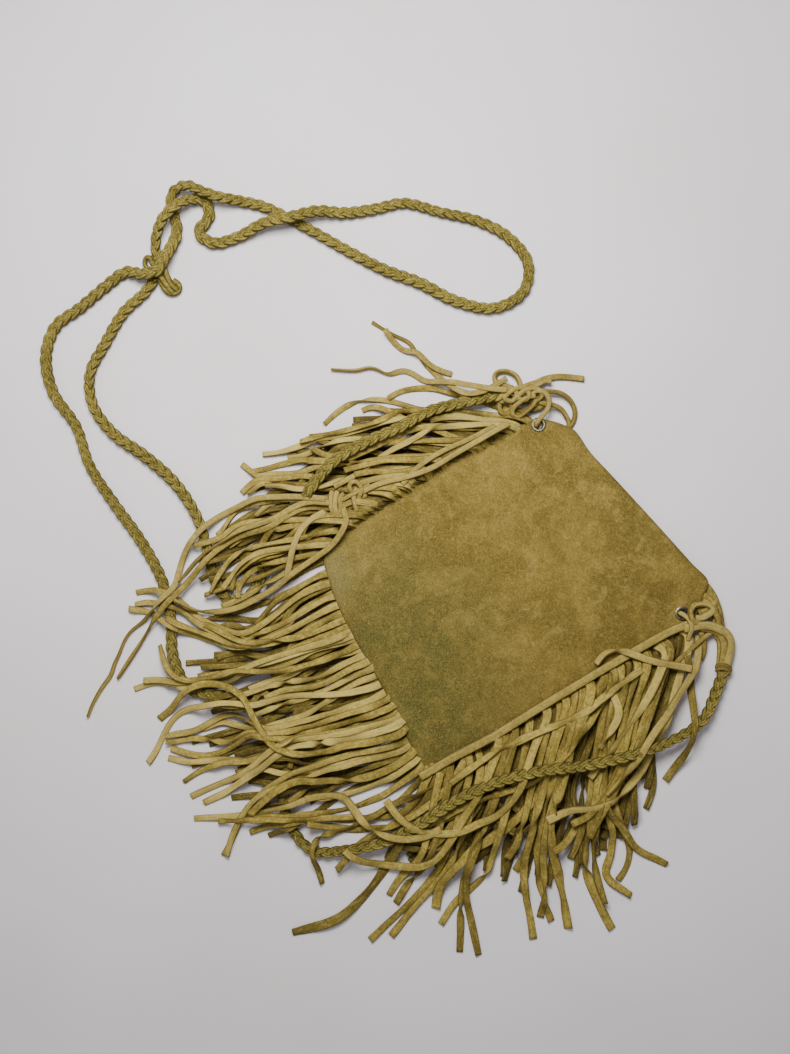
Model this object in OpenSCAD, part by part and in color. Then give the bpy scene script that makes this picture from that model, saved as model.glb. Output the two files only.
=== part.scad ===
/* [Pouch] */
// Thickness of one suede panel
panel_t = 1.5; // [1.2:0.1:1.8]
// Height of the side seam above the table
seam_z = 4.95; // [4.8:0.05:5.2]
// How far the front panel crowns above its seam
crown = 5.5; // [4:0.5:7]
// Width of the part of the mouth edge that lifts
lip_w = 90; // [70:5:100]
// Depth of the part of the mouth edge that lifts
lip_d = 66; // [55:1:70]

/* [Fringe] */
// Width of one suede strip
strip_w = 4.5; // [3.5:0.5:5.5]
// Thickness of one suede strip
strip_t = 1.4; // [1.0:0.1:1.5]
// Strips in the upper layer of the left seam
left_n = 14; // [8:1:14]
// Strips in the upper layer of the bottom seam
bottom_n = 20; // [10:1:21]
// Strips in the upper layer of the right seam
right_n = 18; // [12:1:18]

/* [Strap and laces] */
// Diameter of the plaited strap
strap_d = 9; // [8:0.5:9]
// Diameter of one round lace
lace_d = 3.2; // [2.6:0.2:3.2]

/* [Eyelets] */
// Outer radius of the eyelet's flange
eyelet_flange_r = 5; // [4.5:0.1:5.5]
// Radius of the hole through the eyelet
eyelet_hole_r = 3; // [2.6:0.1:3.1]

/* [Hidden] */
eps = 0.01;

// The laid-out bag is planned on a grid of 0.68 mm cells, [across, down],
// turned so that the bag's mouth, +Y, faces the grid's upper right.
cell = 0.68;
turn_c = 0.5373;
turn_s = 0.8434;
function row(p) = [cell * (turn_c * (p[0] - 505) + turn_s * (p[1] - 583)),
                   cell * (turn_s * (p[0] - 505) - turn_c * (p[1] - 583))];
function row3(p) = [row(p)[0], row(p)[1], p[2]];
function unit(v) = v / norm(v);
function mix(a, b, t) = a + (b - a) * t;
function clamp01(t) = min(1, max(0, t));
function smooth(t) = let (c = clamp01(t)) c * c * (3 - 2 * c);
// A point at fraction s along a list of points
function along(l, s) = let (k = min(len(l) - 2, floor(s * (len(l) - 1))))
    mix(l[k], l[k + 1], s * (len(l) - 1) - k);

// Outline of both panels, anticlockwise from the lower right corner
OUTLINE = [[75, -112], [79, -104], [80, -88], [83, -60], [86, -33], [88, -8],
           [87, 20], [87, 40], [88, 60], [89, 78], [89, 90], [86, 99],
           [80, 106], [72, 116], [56, 113], [36, 109.5], [16, 106], [-4, 102.5],
           [-24, 99], [-44, 95.5], [-61, 95], [-70, 90], [-77, 84], [-82, 77],
           [-85, 66], [-87, 48], [-90, 26], [-91, 4], [-92, -20], [-92, -44],
           [-91, -66], [-88, -82], [-82, -93], [-72, -98], [-52, -103],
           [-28, -106], [-2, -107], [25, -109], [50, -112], [66, -114]];
MOUTH_FIRST = 14;
MOUTH_LAST = 19;
MID = [0, -5];
RINGS = [1, 0.94, 0.86, 0.74, 0.58, 0.38, 0.18];
EYE_L = [-78.5, 76];
EYE_R = [81, 89.5];
LIP_X = 2;
LIP_TOP = 112;
hinge_y = 38;
hinge_z = seam_z + crown + panel_t;

// How full the pouch is at one outline point pulled in by r
function edge_full(i) = i >= MOUTH_FIRST && i <= MOUTH_LAST
    ? 0.52 * max(0, 1 - pow((OUTLINE[i][0] - 6) / 66, 2)) : 0;
function flat_near_eyes(p) = smooth((norm(p - EYE_L) - 9) / 20)
    * smooth((norm(p - EYE_R) - 9) / 20);
function full(i, r) = let (e = edge_full(i), p = mix(MID, OUTLINE[i], r))
    (e + (1 - e) * (1 - pow(r, 2.6))) * flat_near_eyes(p);
function front_mid(f) = seam_z + panel_t / 2 + crown * f;
function back_mid(f) = max(panel_t / 2, seam_z - panel_t / 2 - 6.2 * f);
function mid_z(front, f) = front ? front_mid(f) : back_mid(f);

// One panel: a crowned or dished sheet of even thickness
module panel(front) {
    n = len(OUTLINE);
    m = len(RINGS);
    function sheet_pts(dz) = concat(
        [for (k = [0:m - 1]) for (i = [0:n - 1])
            let (p = mix(MID, OUTLINE[i], RINGS[k]))
            [p[0], p[1], mid_z(front, full(i, RINGS[k])) + dz]],
        [[MID[0], MID[1], mid_z(front, 1) + dz]]);
    top = sheet_pts(panel_t / 2);
    bot = sheet_pts(-panel_t / 2);
    b = len(top);
    faces = concat(
        [for (k = [0:m - 2]) for (i = [0:n - 1]) let (j = (i + 1) % n)
            each [[k * n + i, (k + 1) * n + i, (k + 1) * n + j],
                  [k * n + i, (k + 1) * n + j, k * n + j]]],
        [for (i = [0:n - 1]) let (j = (i + 1) % n)
            [(m - 1) * n + i, m * n, (m - 1) * n + j]],
        [for (k = [0:m - 2]) for (i = [0:n - 1]) let (j = (i + 1) % n)
            each [[b + k * n + i, b + (k + 1) * n + j, b + (k + 1) * n + i],
                  [b + k * n + i, b + k * n + j, b + (k + 1) * n + j]]],
        [for (i = [0:n - 1]) let (j = (i + 1) % n)
            [b + (m - 1) * n + i, b + (m - 1) * n + j, b + m * n]],
        [for (i = [0:n - 1]) let (j = (i + 1) % n)
            each [[i, j, b + j], [i, b + j, b + i]]]);
    polyhedron(points = concat(top, bot), faces = faces, convexity = 6);
}

module eyelet_holes() {
    for (e = [EYE_L, EYE_R])
        translate([e[0], e[1], -1]) cylinder(r = eyelet_hole_r + 0.65, h = 12, $fn = 48);
}

// The lifting middle of the mouth edge, as a block to cut with
module lip_block(grow) {
    translate([LIP_X - lip_w / 2 - grow, hinge_y + 0.6 - grow, 2])
        cube([lip_w + 2 * grow, LIP_TOP + 12 - hinge_y, 14]);
}

module front_panel() {
    color("darkkhaki") difference() {
        panel(true);
        eyelet_holes();
        lip_block(0.5);
    }
}

module front_mouth_lip() {
    color("khaki") intersection() {
        panel(true);
        lip_block(0);
    }
}

module back_panel() {
    color("darkkhaki") difference() {
        panel(false);
        eyelet_holes();
    }
}

// Saddle stitches that close both sides and the bottom, one every third cell
STITCH_FROM = [[-84, 58], [-88, -60], [-68, -94], [66, -109], [84, -8]];
STITCH_TO = [[-88, -60], [-84, -82], [60, -107], [76, -92], [85, 68]];
module seam_stitches() {
    color("tan")
        for (k = [0:len(STITCH_FROM) - 1]) {
            a = STITCH_FROM[k];
            b = STITCH_TO[k];
            n = max(2, round(norm(b - a) / 12));
            for (i = [0:n - 1])
                translate([mix(a, b, (i + 0.5) / n)[0], mix(a, b, (i + 0.5) / n)[1], seam_z - 2.3])
                    cylinder(r = 0.5, h = 4.9, $fn = 16);
        }
}

// Tube swept along a route of plan points with heights
function ring_dir(p, i) = unit((i < len(p) - 1 ? p[i + 1] : p[i]) - (i > 0 ? p[i - 1] : p[i]));
module tube(route, r, sides = 8, closed = false) {
    p = [for (q = route) row3(q)];
    n = len(p);
    pts = [for (i = [0:n - 1])
        let (t = closed ? unit(p[(i + 1) % n] - p[(i + n - 1) % n]) : ring_dir(p, i),
             s = unit(cross([0, 0, 1], t)), u = cross(t, s))
        for (k = [0:sides - 1]) let (a = 360 * (k + 0.5) / sides)
            p[i] + r * (cos(a) * s + sin(a) * u)];
    last = closed ? n - 1 : n - 2;
    walls = [for (i = [0:last]) for (k = [0:sides - 1])
        let (j = (i + 1) % n, l = (k + 1) % sides)
        each [[i * sides + k, i * sides + l, j * sides + l],
              [i * sides + k, j * sides + l, j * sides + k]]];
    ends = closed ? [] : [[for (k = [sides - 1:-1:0]) k],
                          [for (k = [0:sides - 1]) (n - 1) * sides + k]];
    polyhedron(points = pts, faces = concat(walls, ends), convexity = 10);
}

// Where the strap runs on the table under the fringe: [across, down, height]
BURIED = [[303, 500, 8], [295, 512, 7], [287, 524, 6], [281, 536, 5], [275, 548, 4.5],
          [269, 562, 4.5], [262, 576, 4.5], [254, 588, 4.5], [246, 598, 4.5],
          [228, 599, 4.5], [214, 578, 4.5], [210, 563, 4.5], [207, 548, 4.5],
          [162, 580, 4.5], [167, 600, 4.5], [171, 618, 4.5], [172, 637, 4.5],
          [173, 656, 4.5], [180, 672, 4.5], [188, 687, 4.5], [205, 692, 4.5],
          [222, 696, 4.5], [240, 700, 4.5], [258, 704, 4.5], [268, 718, 4.5],
          [278, 732, 4.5], [280, 753, 4.5], [282, 775, 4.5], [285, 798, 4.5],
          [288, 820, 4.5], [300, 835, 4.5], [312, 850, 4.5], [330, 850, 5.5],
          [348, 850, 6.5], [366, 846, 8], [384, 842, 9]];
function lift(p) = max([for (b = BURIED)
    let (d = norm(p - row(b))) (b[2] + strap_d / 2 + 0.5) * clamp01((25 - d) / 16)]);

// One fringe strip: a flat strip from its seam, over what lies under it
module strip(root, mid, tip, seam_h, table_h, steps) {
    c = [for (k = [0:steps]) let (t = k / steps, a = mix(root, mid, t), b = mix(mid, tip, t)) mix(a, b, t)];
    pr = [for (q = c) row(q)];
    pts = [for (k = [0:steps])
        let (t = unit(pr[min(steps, k + 1)] - pr[max(0, k - 1)]),
             s = [-t[1], t[0]] * strip_w / 2,
             z = k == 0 ? seam_h : table_h + lift(pr[k]))
        each [[pr[k][0] + s[0], pr[k][1] + s[1], z - strip_t / 2],
              [pr[k][0] - s[0], pr[k][1] - s[1], z - strip_t / 2],
              [pr[k][0] - s[0], pr[k][1] - s[1], z + strip_t / 2],
              [pr[k][0] + s[0], pr[k][1] + s[1], z + strip_t / 2]]];
    faces = concat([[0, 1, 2, 3]],
        [for (k = [0:steps - 1]) for (e = [0:3]) let (f = (e + 1) % 4)
            each [[4 * k + e, 4 * k + 4 + e, 4 * k + 4 + f],
                  [4 * k + e, 4 * k + 4 + f, 4 * k + f]]],
        [[4 * steps + 3, 4 * steps + 2, 4 * steps + 1, 4 * steps]]);
    polyhedron(points = pts, faces = faces, convexity = 6);
}

module comb(roots, mids, tips, n, upper, steps) {
    for (i = [0:n - 1]) {
        s = (i + (upper ? 0.5 : 1)) / (n + 0.5);
        strip(along(roots, s), along(mids, s), along(tips, s),
              seam_z + (upper ? 0.75 : -0.75), upper ? 2.7 : 0.75, steps);
    }
}

// Roots, bends and tips of each seam's strips, in plan cells
LEFT_ROOTS = [[503, 434], [452, 460], [385, 500], [331, 546]];
LEFT_MIDS = [[405, 412], [345, 450], [285, 500], [255, 570]];
LEFT_TIPS = [[310, 400], [262, 455], [205, 530], [150, 606]];
BOTTOM_ROOTS = [[325, 566], [345, 620], [370, 665], [390, 700], [414, 756]];
BOTTOM_MIDS = [[245, 610], [265, 650], [285, 692], [300, 735], [330, 790]];
BOTTOM_TIPS = [[140, 614], [160, 650], [150, 690], [165, 745], [210, 820]];
RIGHT_ROOTS = [[432, 766], [500, 735], [560, 700], [610, 668], [650, 648], [684, 630]];
RIGHT_MIDS = [[385, 830], [440, 830], [500, 825], [560, 815], [620, 795], [680, 740]];
RIGHT_TIPS = [[330, 900], [390, 935], [455, 945], [530, 932], [600, 912], [655, 862]];

module left_fringe_upper() { color("khaki") comb(LEFT_ROOTS, LEFT_MIDS, LEFT_TIPS, left_n, true, 10); }
module left_fringe_lower() { color("darkkhaki") comb(LEFT_ROOTS, LEFT_MIDS, LEFT_TIPS, left_n - 4, false, 10); }
module bottom_fringe_upper() { color("khaki") comb(BOTTOM_ROOTS, BOTTOM_MIDS, BOTTOM_TIPS, bottom_n, true, 10); }
module bottom_fringe_lower() { color("darkkhaki") comb(BOTTOM_ROOTS, BOTTOM_MIDS, BOTTOM_TIPS, bottom_n - 5, false, 10); }
module right_fringe_upper() { color("khaki") comb(RIGHT_ROOTS, RIGHT_MIDS, RIGHT_TIPS, right_n, true, 10); }
module right_fringe_lower() { color("darkkhaki") comb(RIGHT_ROOTS, RIGHT_MIDS, RIGHT_TIPS, right_n - 4, false, 10); }

// Rolled eyelet: flange above, barrel through both panels, roll below
module eyelet(at) {
    color("silver") translate([at[0], at[1], 0])
        rotate_extrude($fn = 64)
            polygon([[eyelet_hole_r, 2.2], [eyelet_hole_r + 1.6, 2.2], [eyelet_hole_r + 1.6, 2.6],
                     [eyelet_hole_r + 0.6, 2.6], [eyelet_hole_r + 0.6, seam_z + panel_t],
                     [eyelet_flange_r, seam_z + panel_t], [eyelet_flange_r, seam_z + panel_t + 0.4],
                     [eyelet_flange_r - 0.8, seam_z + panel_t + 0.9],
                     [eyelet_hole_r + 0.5, seam_z + panel_t + 0.9],
                     [eyelet_hole_r, seam_z + panel_t + 0.5]]);
}
module washer(at) {
    color("gray") translate([at[0], at[1], 2.6]) difference() {
        cylinder(r = eyelet_flange_r, h = seam_z - panel_t - 2.6, $fn = 64);
        translate([0, 0, -1]) cylinder(r = eyelet_hole_r + 0.6, h = 6, $fn = 64);
    }
}
module left_eyelet() { eyelet(EYE_L); }
module left_washer() { washer(EYE_L); }
module right_eyelet() { eyelet(EYE_R); }
module right_washer() { washer(EYE_R); }

// A lace taken through the eyelet and round the outside of the side seam
module anchor_loop(at, away, reach) {
    color("khaki") translate([at[0], at[1], 0]) rotate([0, 0, away])
        translate([0, 1.2, 0]) rotate([90, 0, 0]) linear_extrude(height = 2.4)
            difference() {
                translate([-1.2, 0.2]) square([reach + 2.4, 9]);
                translate([1.2, 1.9]) square([reach - 2.4, 5.7]);
            }
}
module left_anchor_loop() { anchor_loop(EYE_L, 180, 12); }
module right_anchor_loop() { anchor_loop(EYE_R, 30, 13); }

// A lace knot: one closed lace that crosses over and under itself
module lace_knot(at, size, squash, turn, r) {
    route = [for (k = [0:35]) let (a = 10 * k)
        [size * (sin(a) + 2 * sin(2 * a)) / 3, size * squash * (cos(a) - 2 * cos(2 * a)) / 3,
         -1.15 * r * sin(3 * a)]];
    n = len(route);
    sides = 8;
    pts = [for (i = [0:n - 1])
        let (t = unit(route[(i + 1) % n] - route[(i + n - 1) % n]),
             s = unit(cross([0, 0, 1], t)), u = cross(t, s))
        for (k = [0:sides - 1]) let (a = 360 * (k + 0.5) / sides)
            route[i] + r * (cos(a) * s + sin(a) * u)];
    translate(at) rotate([0, 0, turn])
        polyhedron(points = pts, convexity = 8, faces = [for (i = [0:n - 1]) for (k = [0:sides - 1])
            let (j = (i + 1) % n, l = (k + 1) % sides)
            each [[i * sides + k, i * sides + l, j * sides + l],
                  [i * sides + k, j * sides + l, j * sides + k]]]);
}
module left_knot() { color("khaki") lace_knot([-104, 77, 5.4], 10, 1, 20, 2.2); }
module right_knot() { color("khaki") lace_knot([107, 103, 5.4], 9, 1, 50, 2.1); }
module tassel_knot() { color("khaki") lace_knot([-104, -66, 12.5], 9, 1, 0, 2.1); }

// The strap's route from the left corner to the right corner
STRAP = [[506, 394, 8], [488, 397, 11], [456, 404, 12.5], [427, 412, 12.5], [400, 427, 12.5],
         [368, 441, 12.5], [338, 458, 12.5], [318, 478, 11.5], [303, 500, 8], [287, 524, 6],
         [275, 548, 4.6], [262, 576, 4.6], [246, 598, 4.6], [228, 599, 4.6], [214, 578, 4.6],
         [207, 548, 4.6], [196, 515, 4.6], [175, 483, 4.6], [145, 456, 4.6], [113, 433, 4.6],
         [93, 405, 4.6], [90, 374, 4.6], [106, 342, 4.6], [124, 312, 4.6], [146, 291, 4.6],
         [156, 274, 4.6], [156, 256, 4.6], [156, 238, 6.5], [163, 218, 14], [176, 205, 14.6],
         [193, 199, 7.5], [206, 202, 4.6], [209, 217, 4.6], [199, 232, 4.6], [213, 243, 4.6],
         [238, 237, 5], [264, 223, 11], [290, 217, 14.6], [317, 211, 10.5], [345, 213, 5],
         [375, 209, 4.6], [404, 203, 4.6], [440, 212, 4.6], [478, 221, 4.6], [508, 237, 4.6],
         [528, 263, 4.6], [523, 292, 4.6], [494, 308, 4.6], [456, 301, 4.6], [420, 283, 4.6],
         [385, 270, 4.6], [350, 252, 4.6], [318, 234, 4.6], [290, 219, 4.6], [262, 206, 4.6],
         [240, 201, 6], [220, 197, 12.5], [202, 191, 14.6], [186, 185, 12.5], [172, 194, 5.5],
         [172, 210, 4.6], [177, 226, 4.6], [174, 241, 6], [165, 257, 12.5], [157, 270, 14.6],
         [143, 274, 11], [126, 272, 5], [106, 286, 4.6], [80, 308, 4.6], [56, 326, 4.6],
         [46, 356, 4.6], [53, 392, 4.6], [76, 426, 4.6], [90, 466, 4.6], [116, 506, 4.6],
         [141, 541, 4.6], [162, 580, 4.6], [171, 618, 4.6], [173, 656, 4.6], [188, 687, 4.6],
         [222, 696, 4.6], [258, 704, 4.6], [278, 732, 4.6], [282, 775, 4.6], [288, 820, 4.6],
         [312, 850, 4.6], [348, 850, 6.5], [384, 842, 9.5], [420, 824, 12.5], [457, 800, 12.5],
         [498, 782, 12.5], [541, 771, 12.5], [583, 766, 12.5], [625, 757, 12.5], [667, 743, 12.5],
         [702, 721, 11], [720, 690, 7.5], [732, 656, 6.5], [730, 632, 6.5]];
module strap_braid() { color("darkkhaki") tube(STRAP, strap_d / 2); }

// Lace routes
STRAND_A = [[322, 499, 16.5], [308, 497, 18.5], [300, 496, 19], [279, 496, 18.5], [234, 509, 18], [194, 542, 17.5],
            [172, 571, 17.5], [152, 598, 16.5], [140, 622, 8], [128, 643, 4], [108, 680, 1.8], [86, 719, 1.8]];
STRAND_B = [[321, 507, 16.5], [309, 511, 18.5], [296, 515, 19], [256, 531, 18.5], [212, 552, 18], [196, 562, 17.5]];
STRAND_C = [[338, 520, 14.5], [326, 548, 15.5], [300, 570, 17.5], [275, 588, 17.5], [250, 604, 17.5]];
LACE_A = [[494, 427, 8.6], [470, 439, 8.4], [440, 453, 8.4], [415, 470, 8.4], [402, 485, 8.4]];
LACE_B = [[500, 422, 12.5], [478, 431, 12.5], [455, 444, 12.5], [430, 459, 12.5], [405, 471, 12.5],
          [380, 480, 12.5], [362, 489, 12.5]];
TAIL_A = [[506, 379, 5], [465, 381, 3], [442, 374, 1.8], [427, 362, 1.8], [400, 341, 1.8], [380, 328, 1.8]];
TAIL_B = [[505, 386, 9], [470, 387, 7], [442, 389, 2.4], [412, 384, 1.8], [383, 381, 1.8],
          [358, 375, 1.8], [331, 369, 1.8]];
TAIL_C = [[498, 404, 3], [470, 408, 4], [445, 405, 5.4], [419, 410, 5.4], [393, 405, 5.4],
          [366, 399, 5.4], [343, 404, 5.4], [324, 418, 5.4]];
TAIL_D = [[532, 386, 4], [548, 380, 2], [565, 376, 1.8], [584, 378, 1.8]];
EDGE_LACE = [[692, 616, 10], [665, 632, 9.4], [640, 648, 9.2], [600, 671, 9.2], [560, 695, 9.2],
             [520, 721, 9.2], [480, 743, 9.2], [450, 758, 9], [422, 773, 8.4]];
TAIL_E = [[708, 640, 4], [701, 660, 1.8], [696, 685, 1.8], [700, 710, 1.8], [695, 740, 1.8],
          [684, 765, 1.8], [672, 783, 1.8]];
TAIL_F = [[698, 644, 11], [684, 663, 12], [660, 662, 13], [635, 655, 13], [615, 650, 13], [600, 658, 12.5]];
module tassel_strands() { color("khaki") { tube(STRAND_A, lace_d / 2); tube(STRAND_B, lace_d / 2); tube(STRAND_C, lace_d / 2); } }
module left_laces() { color("khaki") { tube(LACE_A, lace_d / 2); tube(LACE_B, lace_d / 2); } }
module left_tails() { color("khaki") { tube(TAIL_A, lace_d / 2); tube(TAIL_B, lace_d / 2); tube(TAIL_C, lace_d / 2); tube(TAIL_D, lace_d / 2); } }
module right_edge_lace() { color("khaki") tube(EDGE_LACE, lace_d / 2); }
module right_tails() { color("khaki") { tube(TAIL_E, lace_d / 2); tube(TAIL_F, lace_d / 2); } }

front_panel();
front_mouth_lip();
back_panel();
seam_stitches();
left_fringe_upper();
left_fringe_lower();
bottom_fringe_upper();
bottom_fringe_lower();
right_fringe_upper();
right_fringe_lower();
left_eyelet();
left_washer();
right_eyelet();
right_washer();
left_anchor_loop();
right_anchor_loop();
left_knot();
right_knot();
strap_braid();
tassel_knot();
tassel_strands();
left_laces();
left_tails();
right_edge_lace();
right_tails();
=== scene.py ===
import math

import bmesh
import bpy
import numpy as np
from mathutils import Matrix, Vector


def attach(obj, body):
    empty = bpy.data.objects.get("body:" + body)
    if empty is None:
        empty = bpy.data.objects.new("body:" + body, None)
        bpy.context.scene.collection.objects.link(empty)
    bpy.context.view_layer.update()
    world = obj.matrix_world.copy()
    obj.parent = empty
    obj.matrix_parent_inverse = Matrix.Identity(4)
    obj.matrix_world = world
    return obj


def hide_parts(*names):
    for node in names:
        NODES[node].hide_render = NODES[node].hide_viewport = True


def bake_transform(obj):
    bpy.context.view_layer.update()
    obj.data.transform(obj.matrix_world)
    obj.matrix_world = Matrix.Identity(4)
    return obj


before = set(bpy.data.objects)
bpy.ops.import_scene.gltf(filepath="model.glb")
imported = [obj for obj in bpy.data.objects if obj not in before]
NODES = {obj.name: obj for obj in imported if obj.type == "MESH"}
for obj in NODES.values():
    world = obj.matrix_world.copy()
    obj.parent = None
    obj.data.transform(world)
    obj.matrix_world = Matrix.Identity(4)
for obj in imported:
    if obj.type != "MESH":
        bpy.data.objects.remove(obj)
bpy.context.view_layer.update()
rng = np.random.default_rng(11)
scene = bpy.context.scene

# ------------------------------------------------------------------ frame
# Plan cells of 0.68 mm, as in the CAD source; everything here is in
# millimetres until a mesh is made.
CELL, TC, TN = 0.68, 0.5373, 0.8434
EYE = np.array([-72.3, -42.6])      # the point on the floor below the camera
CAM_H = 750.0


def row(p):
    p = np.asarray(p, float)
    du, dv = p[..., 0] - 505, p[..., 1] - 583
    return np.stack([CELL * (TC * du + TN * dv), CELL * (TN * du - TC * dv)], -1)


def near(xy, z):
    """Where a thing at height z stands so that it shows over plan point xy."""
    z = np.asarray(z, float)
    return EYE + (xy - EYE) * (1 - z[..., None] / CAM_H)


# ----------------------------------------------------------------- camera
cam_data = bpy.data.cameras.new("camera")
cam = bpy.data.objects.new("camera", cam_data)
scene.collection.objects.link(cam)
right = Vector((TC, TN, 0))
up = Vector((-TN, TC, 0))
m = Matrix.Identity(4)
for k in range(3):
    m[k][0], m[k][1], m[k][2] = right[k], up[k], (0, 0, 1)[k]
m[0][3], m[1][3], m[2][3] = EYE[0] / 1000, EYE[1] / 1000, CAM_H / 1000
cam.matrix_world = m
cam_data.sensor_width = 36
cam_data.sensor_fit = "AUTO"
cam_data.lens = 37.67
cam_data.clip_start = 0.01
scene.camera = cam


# ---------------------------------------------------------------- geometry
def spline(p, step=1.0):
    """A smooth line through points p (centripetal Catmull-Rom), in even steps."""
    p = np.asarray(p, float)
    if len(p) == 2:
        out = p
    else:
        q = np.vstack([2 * p[0] - p[1], p, 2 * p[-1] - p[-2]])
        out = []
        for i in range(1, len(q) - 2):
            a, b, c, d = q[i - 1], q[i], q[i + 1], q[i + 2]
            t0 = 0.0
            t1 = t0 + max(1e-6, np.linalg.norm(b - a)) ** 0.5
            t2 = t1 + max(1e-6, np.linalg.norm(c - b)) ** 0.5
            t3 = t2 + max(1e-6, np.linalg.norm(d - c)) ** 0.5
            t = np.linspace(t1, t2, 14, endpoint=False)[:, None]
            a1 = (t1 - t) / (t1 - t0) * a + (t - t0) / (t1 - t0) * b
            a2 = (t2 - t) / (t2 - t1) * b + (t - t1) / (t2 - t1) * c
            a3 = (t3 - t) / (t3 - t2) * c + (t - t2) / (t3 - t2) * d
            b1 = (t2 - t) / (t2 - t0) * a1 + (t - t0) / (t2 - t0) * a2
            b2 = (t3 - t) / (t3 - t1) * a2 + (t - t1) / (t3 - t1) * a3
            out.append((t2 - t) / (t2 - t1) * b1 + (t - t1) / (t2 - t1) * b2)
        out = np.vstack(out + [p[-1:]])
    return resample(out, step)


def resample(p, step):
    d = np.concatenate([[0], np.cumsum(np.linalg.norm(np.diff(p, axis=0), axis=1))])
    n = max(3, int(round(d[-1] / step)) + 1)
    at = np.linspace(0, d[-1], n)
    return np.stack([np.interp(at, d, p[:, k]) for k in range(p.shape[1])], 1)


def arc(p):
    return np.concatenate([[0], np.cumsum(np.linalg.norm(np.diff(p, axis=0), axis=1))])


def length(p):
    return float(arc(p)[-1])


def smooth(x):
    x = np.clip(x, 0, 1)
    return x * x * (3 - 2 * x)


def blur(z, sigma):
    r = max(1, int(3 * sigma))
    k = np.exp(-0.5 * (np.arange(-r, r + 1) / sigma) ** 2)
    k /= k.sum()
    return np.convolve(np.pad(z, r, mode="edge"), k, mode="valid")


def soften(p, sigma):
    """Takes the small jogs out of a line of points 1 mm apart, ends kept."""
    r = min(len(p) - 1, max(1, int(3 * sigma)))
    q = np.vstack([2 * p[0] - p[r:0:-1], p, 2 * p[-1] - p[-2:-r - 2:-1]])
    k = np.exp(-0.5 * (np.arange(-r, r + 1) / sigma) ** 2)
    k /= k.sum()
    return np.stack([np.convolve(q[:, j], k, mode="valid") for j in range(p.shape[1])], 1)


def unit(v):
    return v / np.maximum(np.linalg.norm(v, axis=-1, keepdims=True), 1e-9)


def sides_of(line, free=False):
    """Tangent, side and up of each station. A free line carries its frame along."""
    t = unit(np.gradient(line, axis=0))
    z = np.array([0, 0, 1.0])
    s = np.cross(z, t)
    if not free:
        s = unit(s)
        return t, s, np.cross(t, s)
    s0 = s[0] if np.linalg.norm(s[0]) > 0.05 else np.array([1.0, 0, 0])
    out = np.zeros_like(line)
    cur = s0
    for i in range(len(line)):
        cur = cur - t[i] * cur.dot(t[i])
        cur = cur / max(1e-9, np.linalg.norm(cur))
        out[i] = cur
    return t, out, np.cross(t, out)


class Bin:
    """Collects swept strips and tubes, and makes one mesh of them."""

    def __init__(self):
        self.v, self.f, self.tone, self.across, self.wear, self.along = [], [], [], [], [], []
        self.n = 0
        self.count = 0

    def sweep(self, line, hw, ht, roll=0.0, sides=10, power=0.72, tone=0.0, free=False, wear=None, round_ends=0.0):
        n = len(line)
        t, s, u = sides_of(line, free)
        a = 2 * math.pi * (np.arange(sides) + 0.5) / sides
        cx = np.sign(np.cos(a)) * np.abs(np.cos(a)) ** power
        cz = np.sign(np.sin(a)) * np.abs(np.sin(a)) ** power
        hw = np.broadcast_to(np.asarray(hw, float), (n,)).copy()
        ht = np.broadcast_to(np.asarray(ht, float), (n,)).copy()
        if round_ends:
            d = arc(line)
            e = np.sqrt(np.clip(1 - (1 - np.clip(np.minimum(d, d[-1] - d) / round_ends, 0, 1)) ** 2, 0.06, 1))
            hw *= e
            ht *= e
        roll = np.broadcast_to(np.asarray(roll, float), (n,))
        c, q = np.cos(roll)[:, None], np.sin(roll)[:, None]
        x = hw[:, None] * cx[None]
        z = ht[:, None] * cz[None]
        off = (x * c - z * q)[..., None] * s[:, None] + (x * q + z * c)[..., None] * u[:, None]
        pts = (line[:, None] + off).reshape(-1, 3)
        i = np.arange(n - 1)[:, None] * sides
        k = np.arange(sides)[None]
        l = (k + 1) % sides
        quads = np.stack([i + k, i + l, i + sides + l, i + sides + k], -1).reshape(-1, 4) + self.n
        self.f += quads.tolist()
        self.f.append([self.n + j for j in range(sides - 1, -1, -1)])
        self.f.append([self.n + (n - 1) * sides + j for j in range(sides)])
        self.v.append(pts)
        self.tone.append(np.full(len(pts), tone))
        self.across.append(np.tile(cx, n))
        w = np.zeros(n) if wear is None else wear
        self.wear.append(np.repeat(w, sides))
        self.count += 1
        self.along.append(np.column_stack([np.repeat(arc(line), sides) / 14.0, np.tile(cx * 0.9 + 0.35 * cz, n) * 1.4,
                                           np.full(len(pts), self.count * 3.7)]))
        self.n += len(pts)

    def make(self, name, mat):
        me = bpy.data.meshes.new(name)
        v = np.vstack(self.v) / 1000
        me.from_pydata(v.tolist(), [], self.f)
        for key, parts in (("tone", self.tone), ("across", self.across), ("wear", self.wear)):
            at = me.attributes.new(key, "FLOAT", "POINT")
            at.data.foreach_set("value", np.concatenate(parts).astype(np.float32))
        at = me.attributes.new("strand", "FLOAT_VECTOR", "POINT")
        at.data.foreach_set("vector", np.concatenate(self.along).astype(np.float32).ravel())
        me.polygons.foreach_set("use_smooth", np.ones(len(me.polygons), bool))
        me.materials.append(mat)
        me.update()
        o = bpy.data.objects.new(name, me)
        scene.collection.objects.link(o)
        return o


class Pile:
    """The height of what lies on the floor so far."""

    def __init__(self, lo, hi, c=0.75):
        self.lo, self.c = np.array(lo, float), c
        self.n = np.ceil((np.array(hi) - self.lo) / c).astype(int) + 1
        self.h = np.zeros(tuple(self.n), np.float32)

    def cells(self, xy):
        return np.clip(((xy - self.lo) / self.c).round().astype(int), 0, self.n - 1)

    def at(self, xy):
        i = self.cells(xy)
        return self.h[i[..., 0], i[..., 1]].astype(float)

    def put(self, xy, z):
        i = self.cells(xy).reshape(-1, 2)
        np.maximum.at(self.h, (i[:, 0], i[:, 1]), np.asarray(z, np.float32).ravel())


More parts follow.
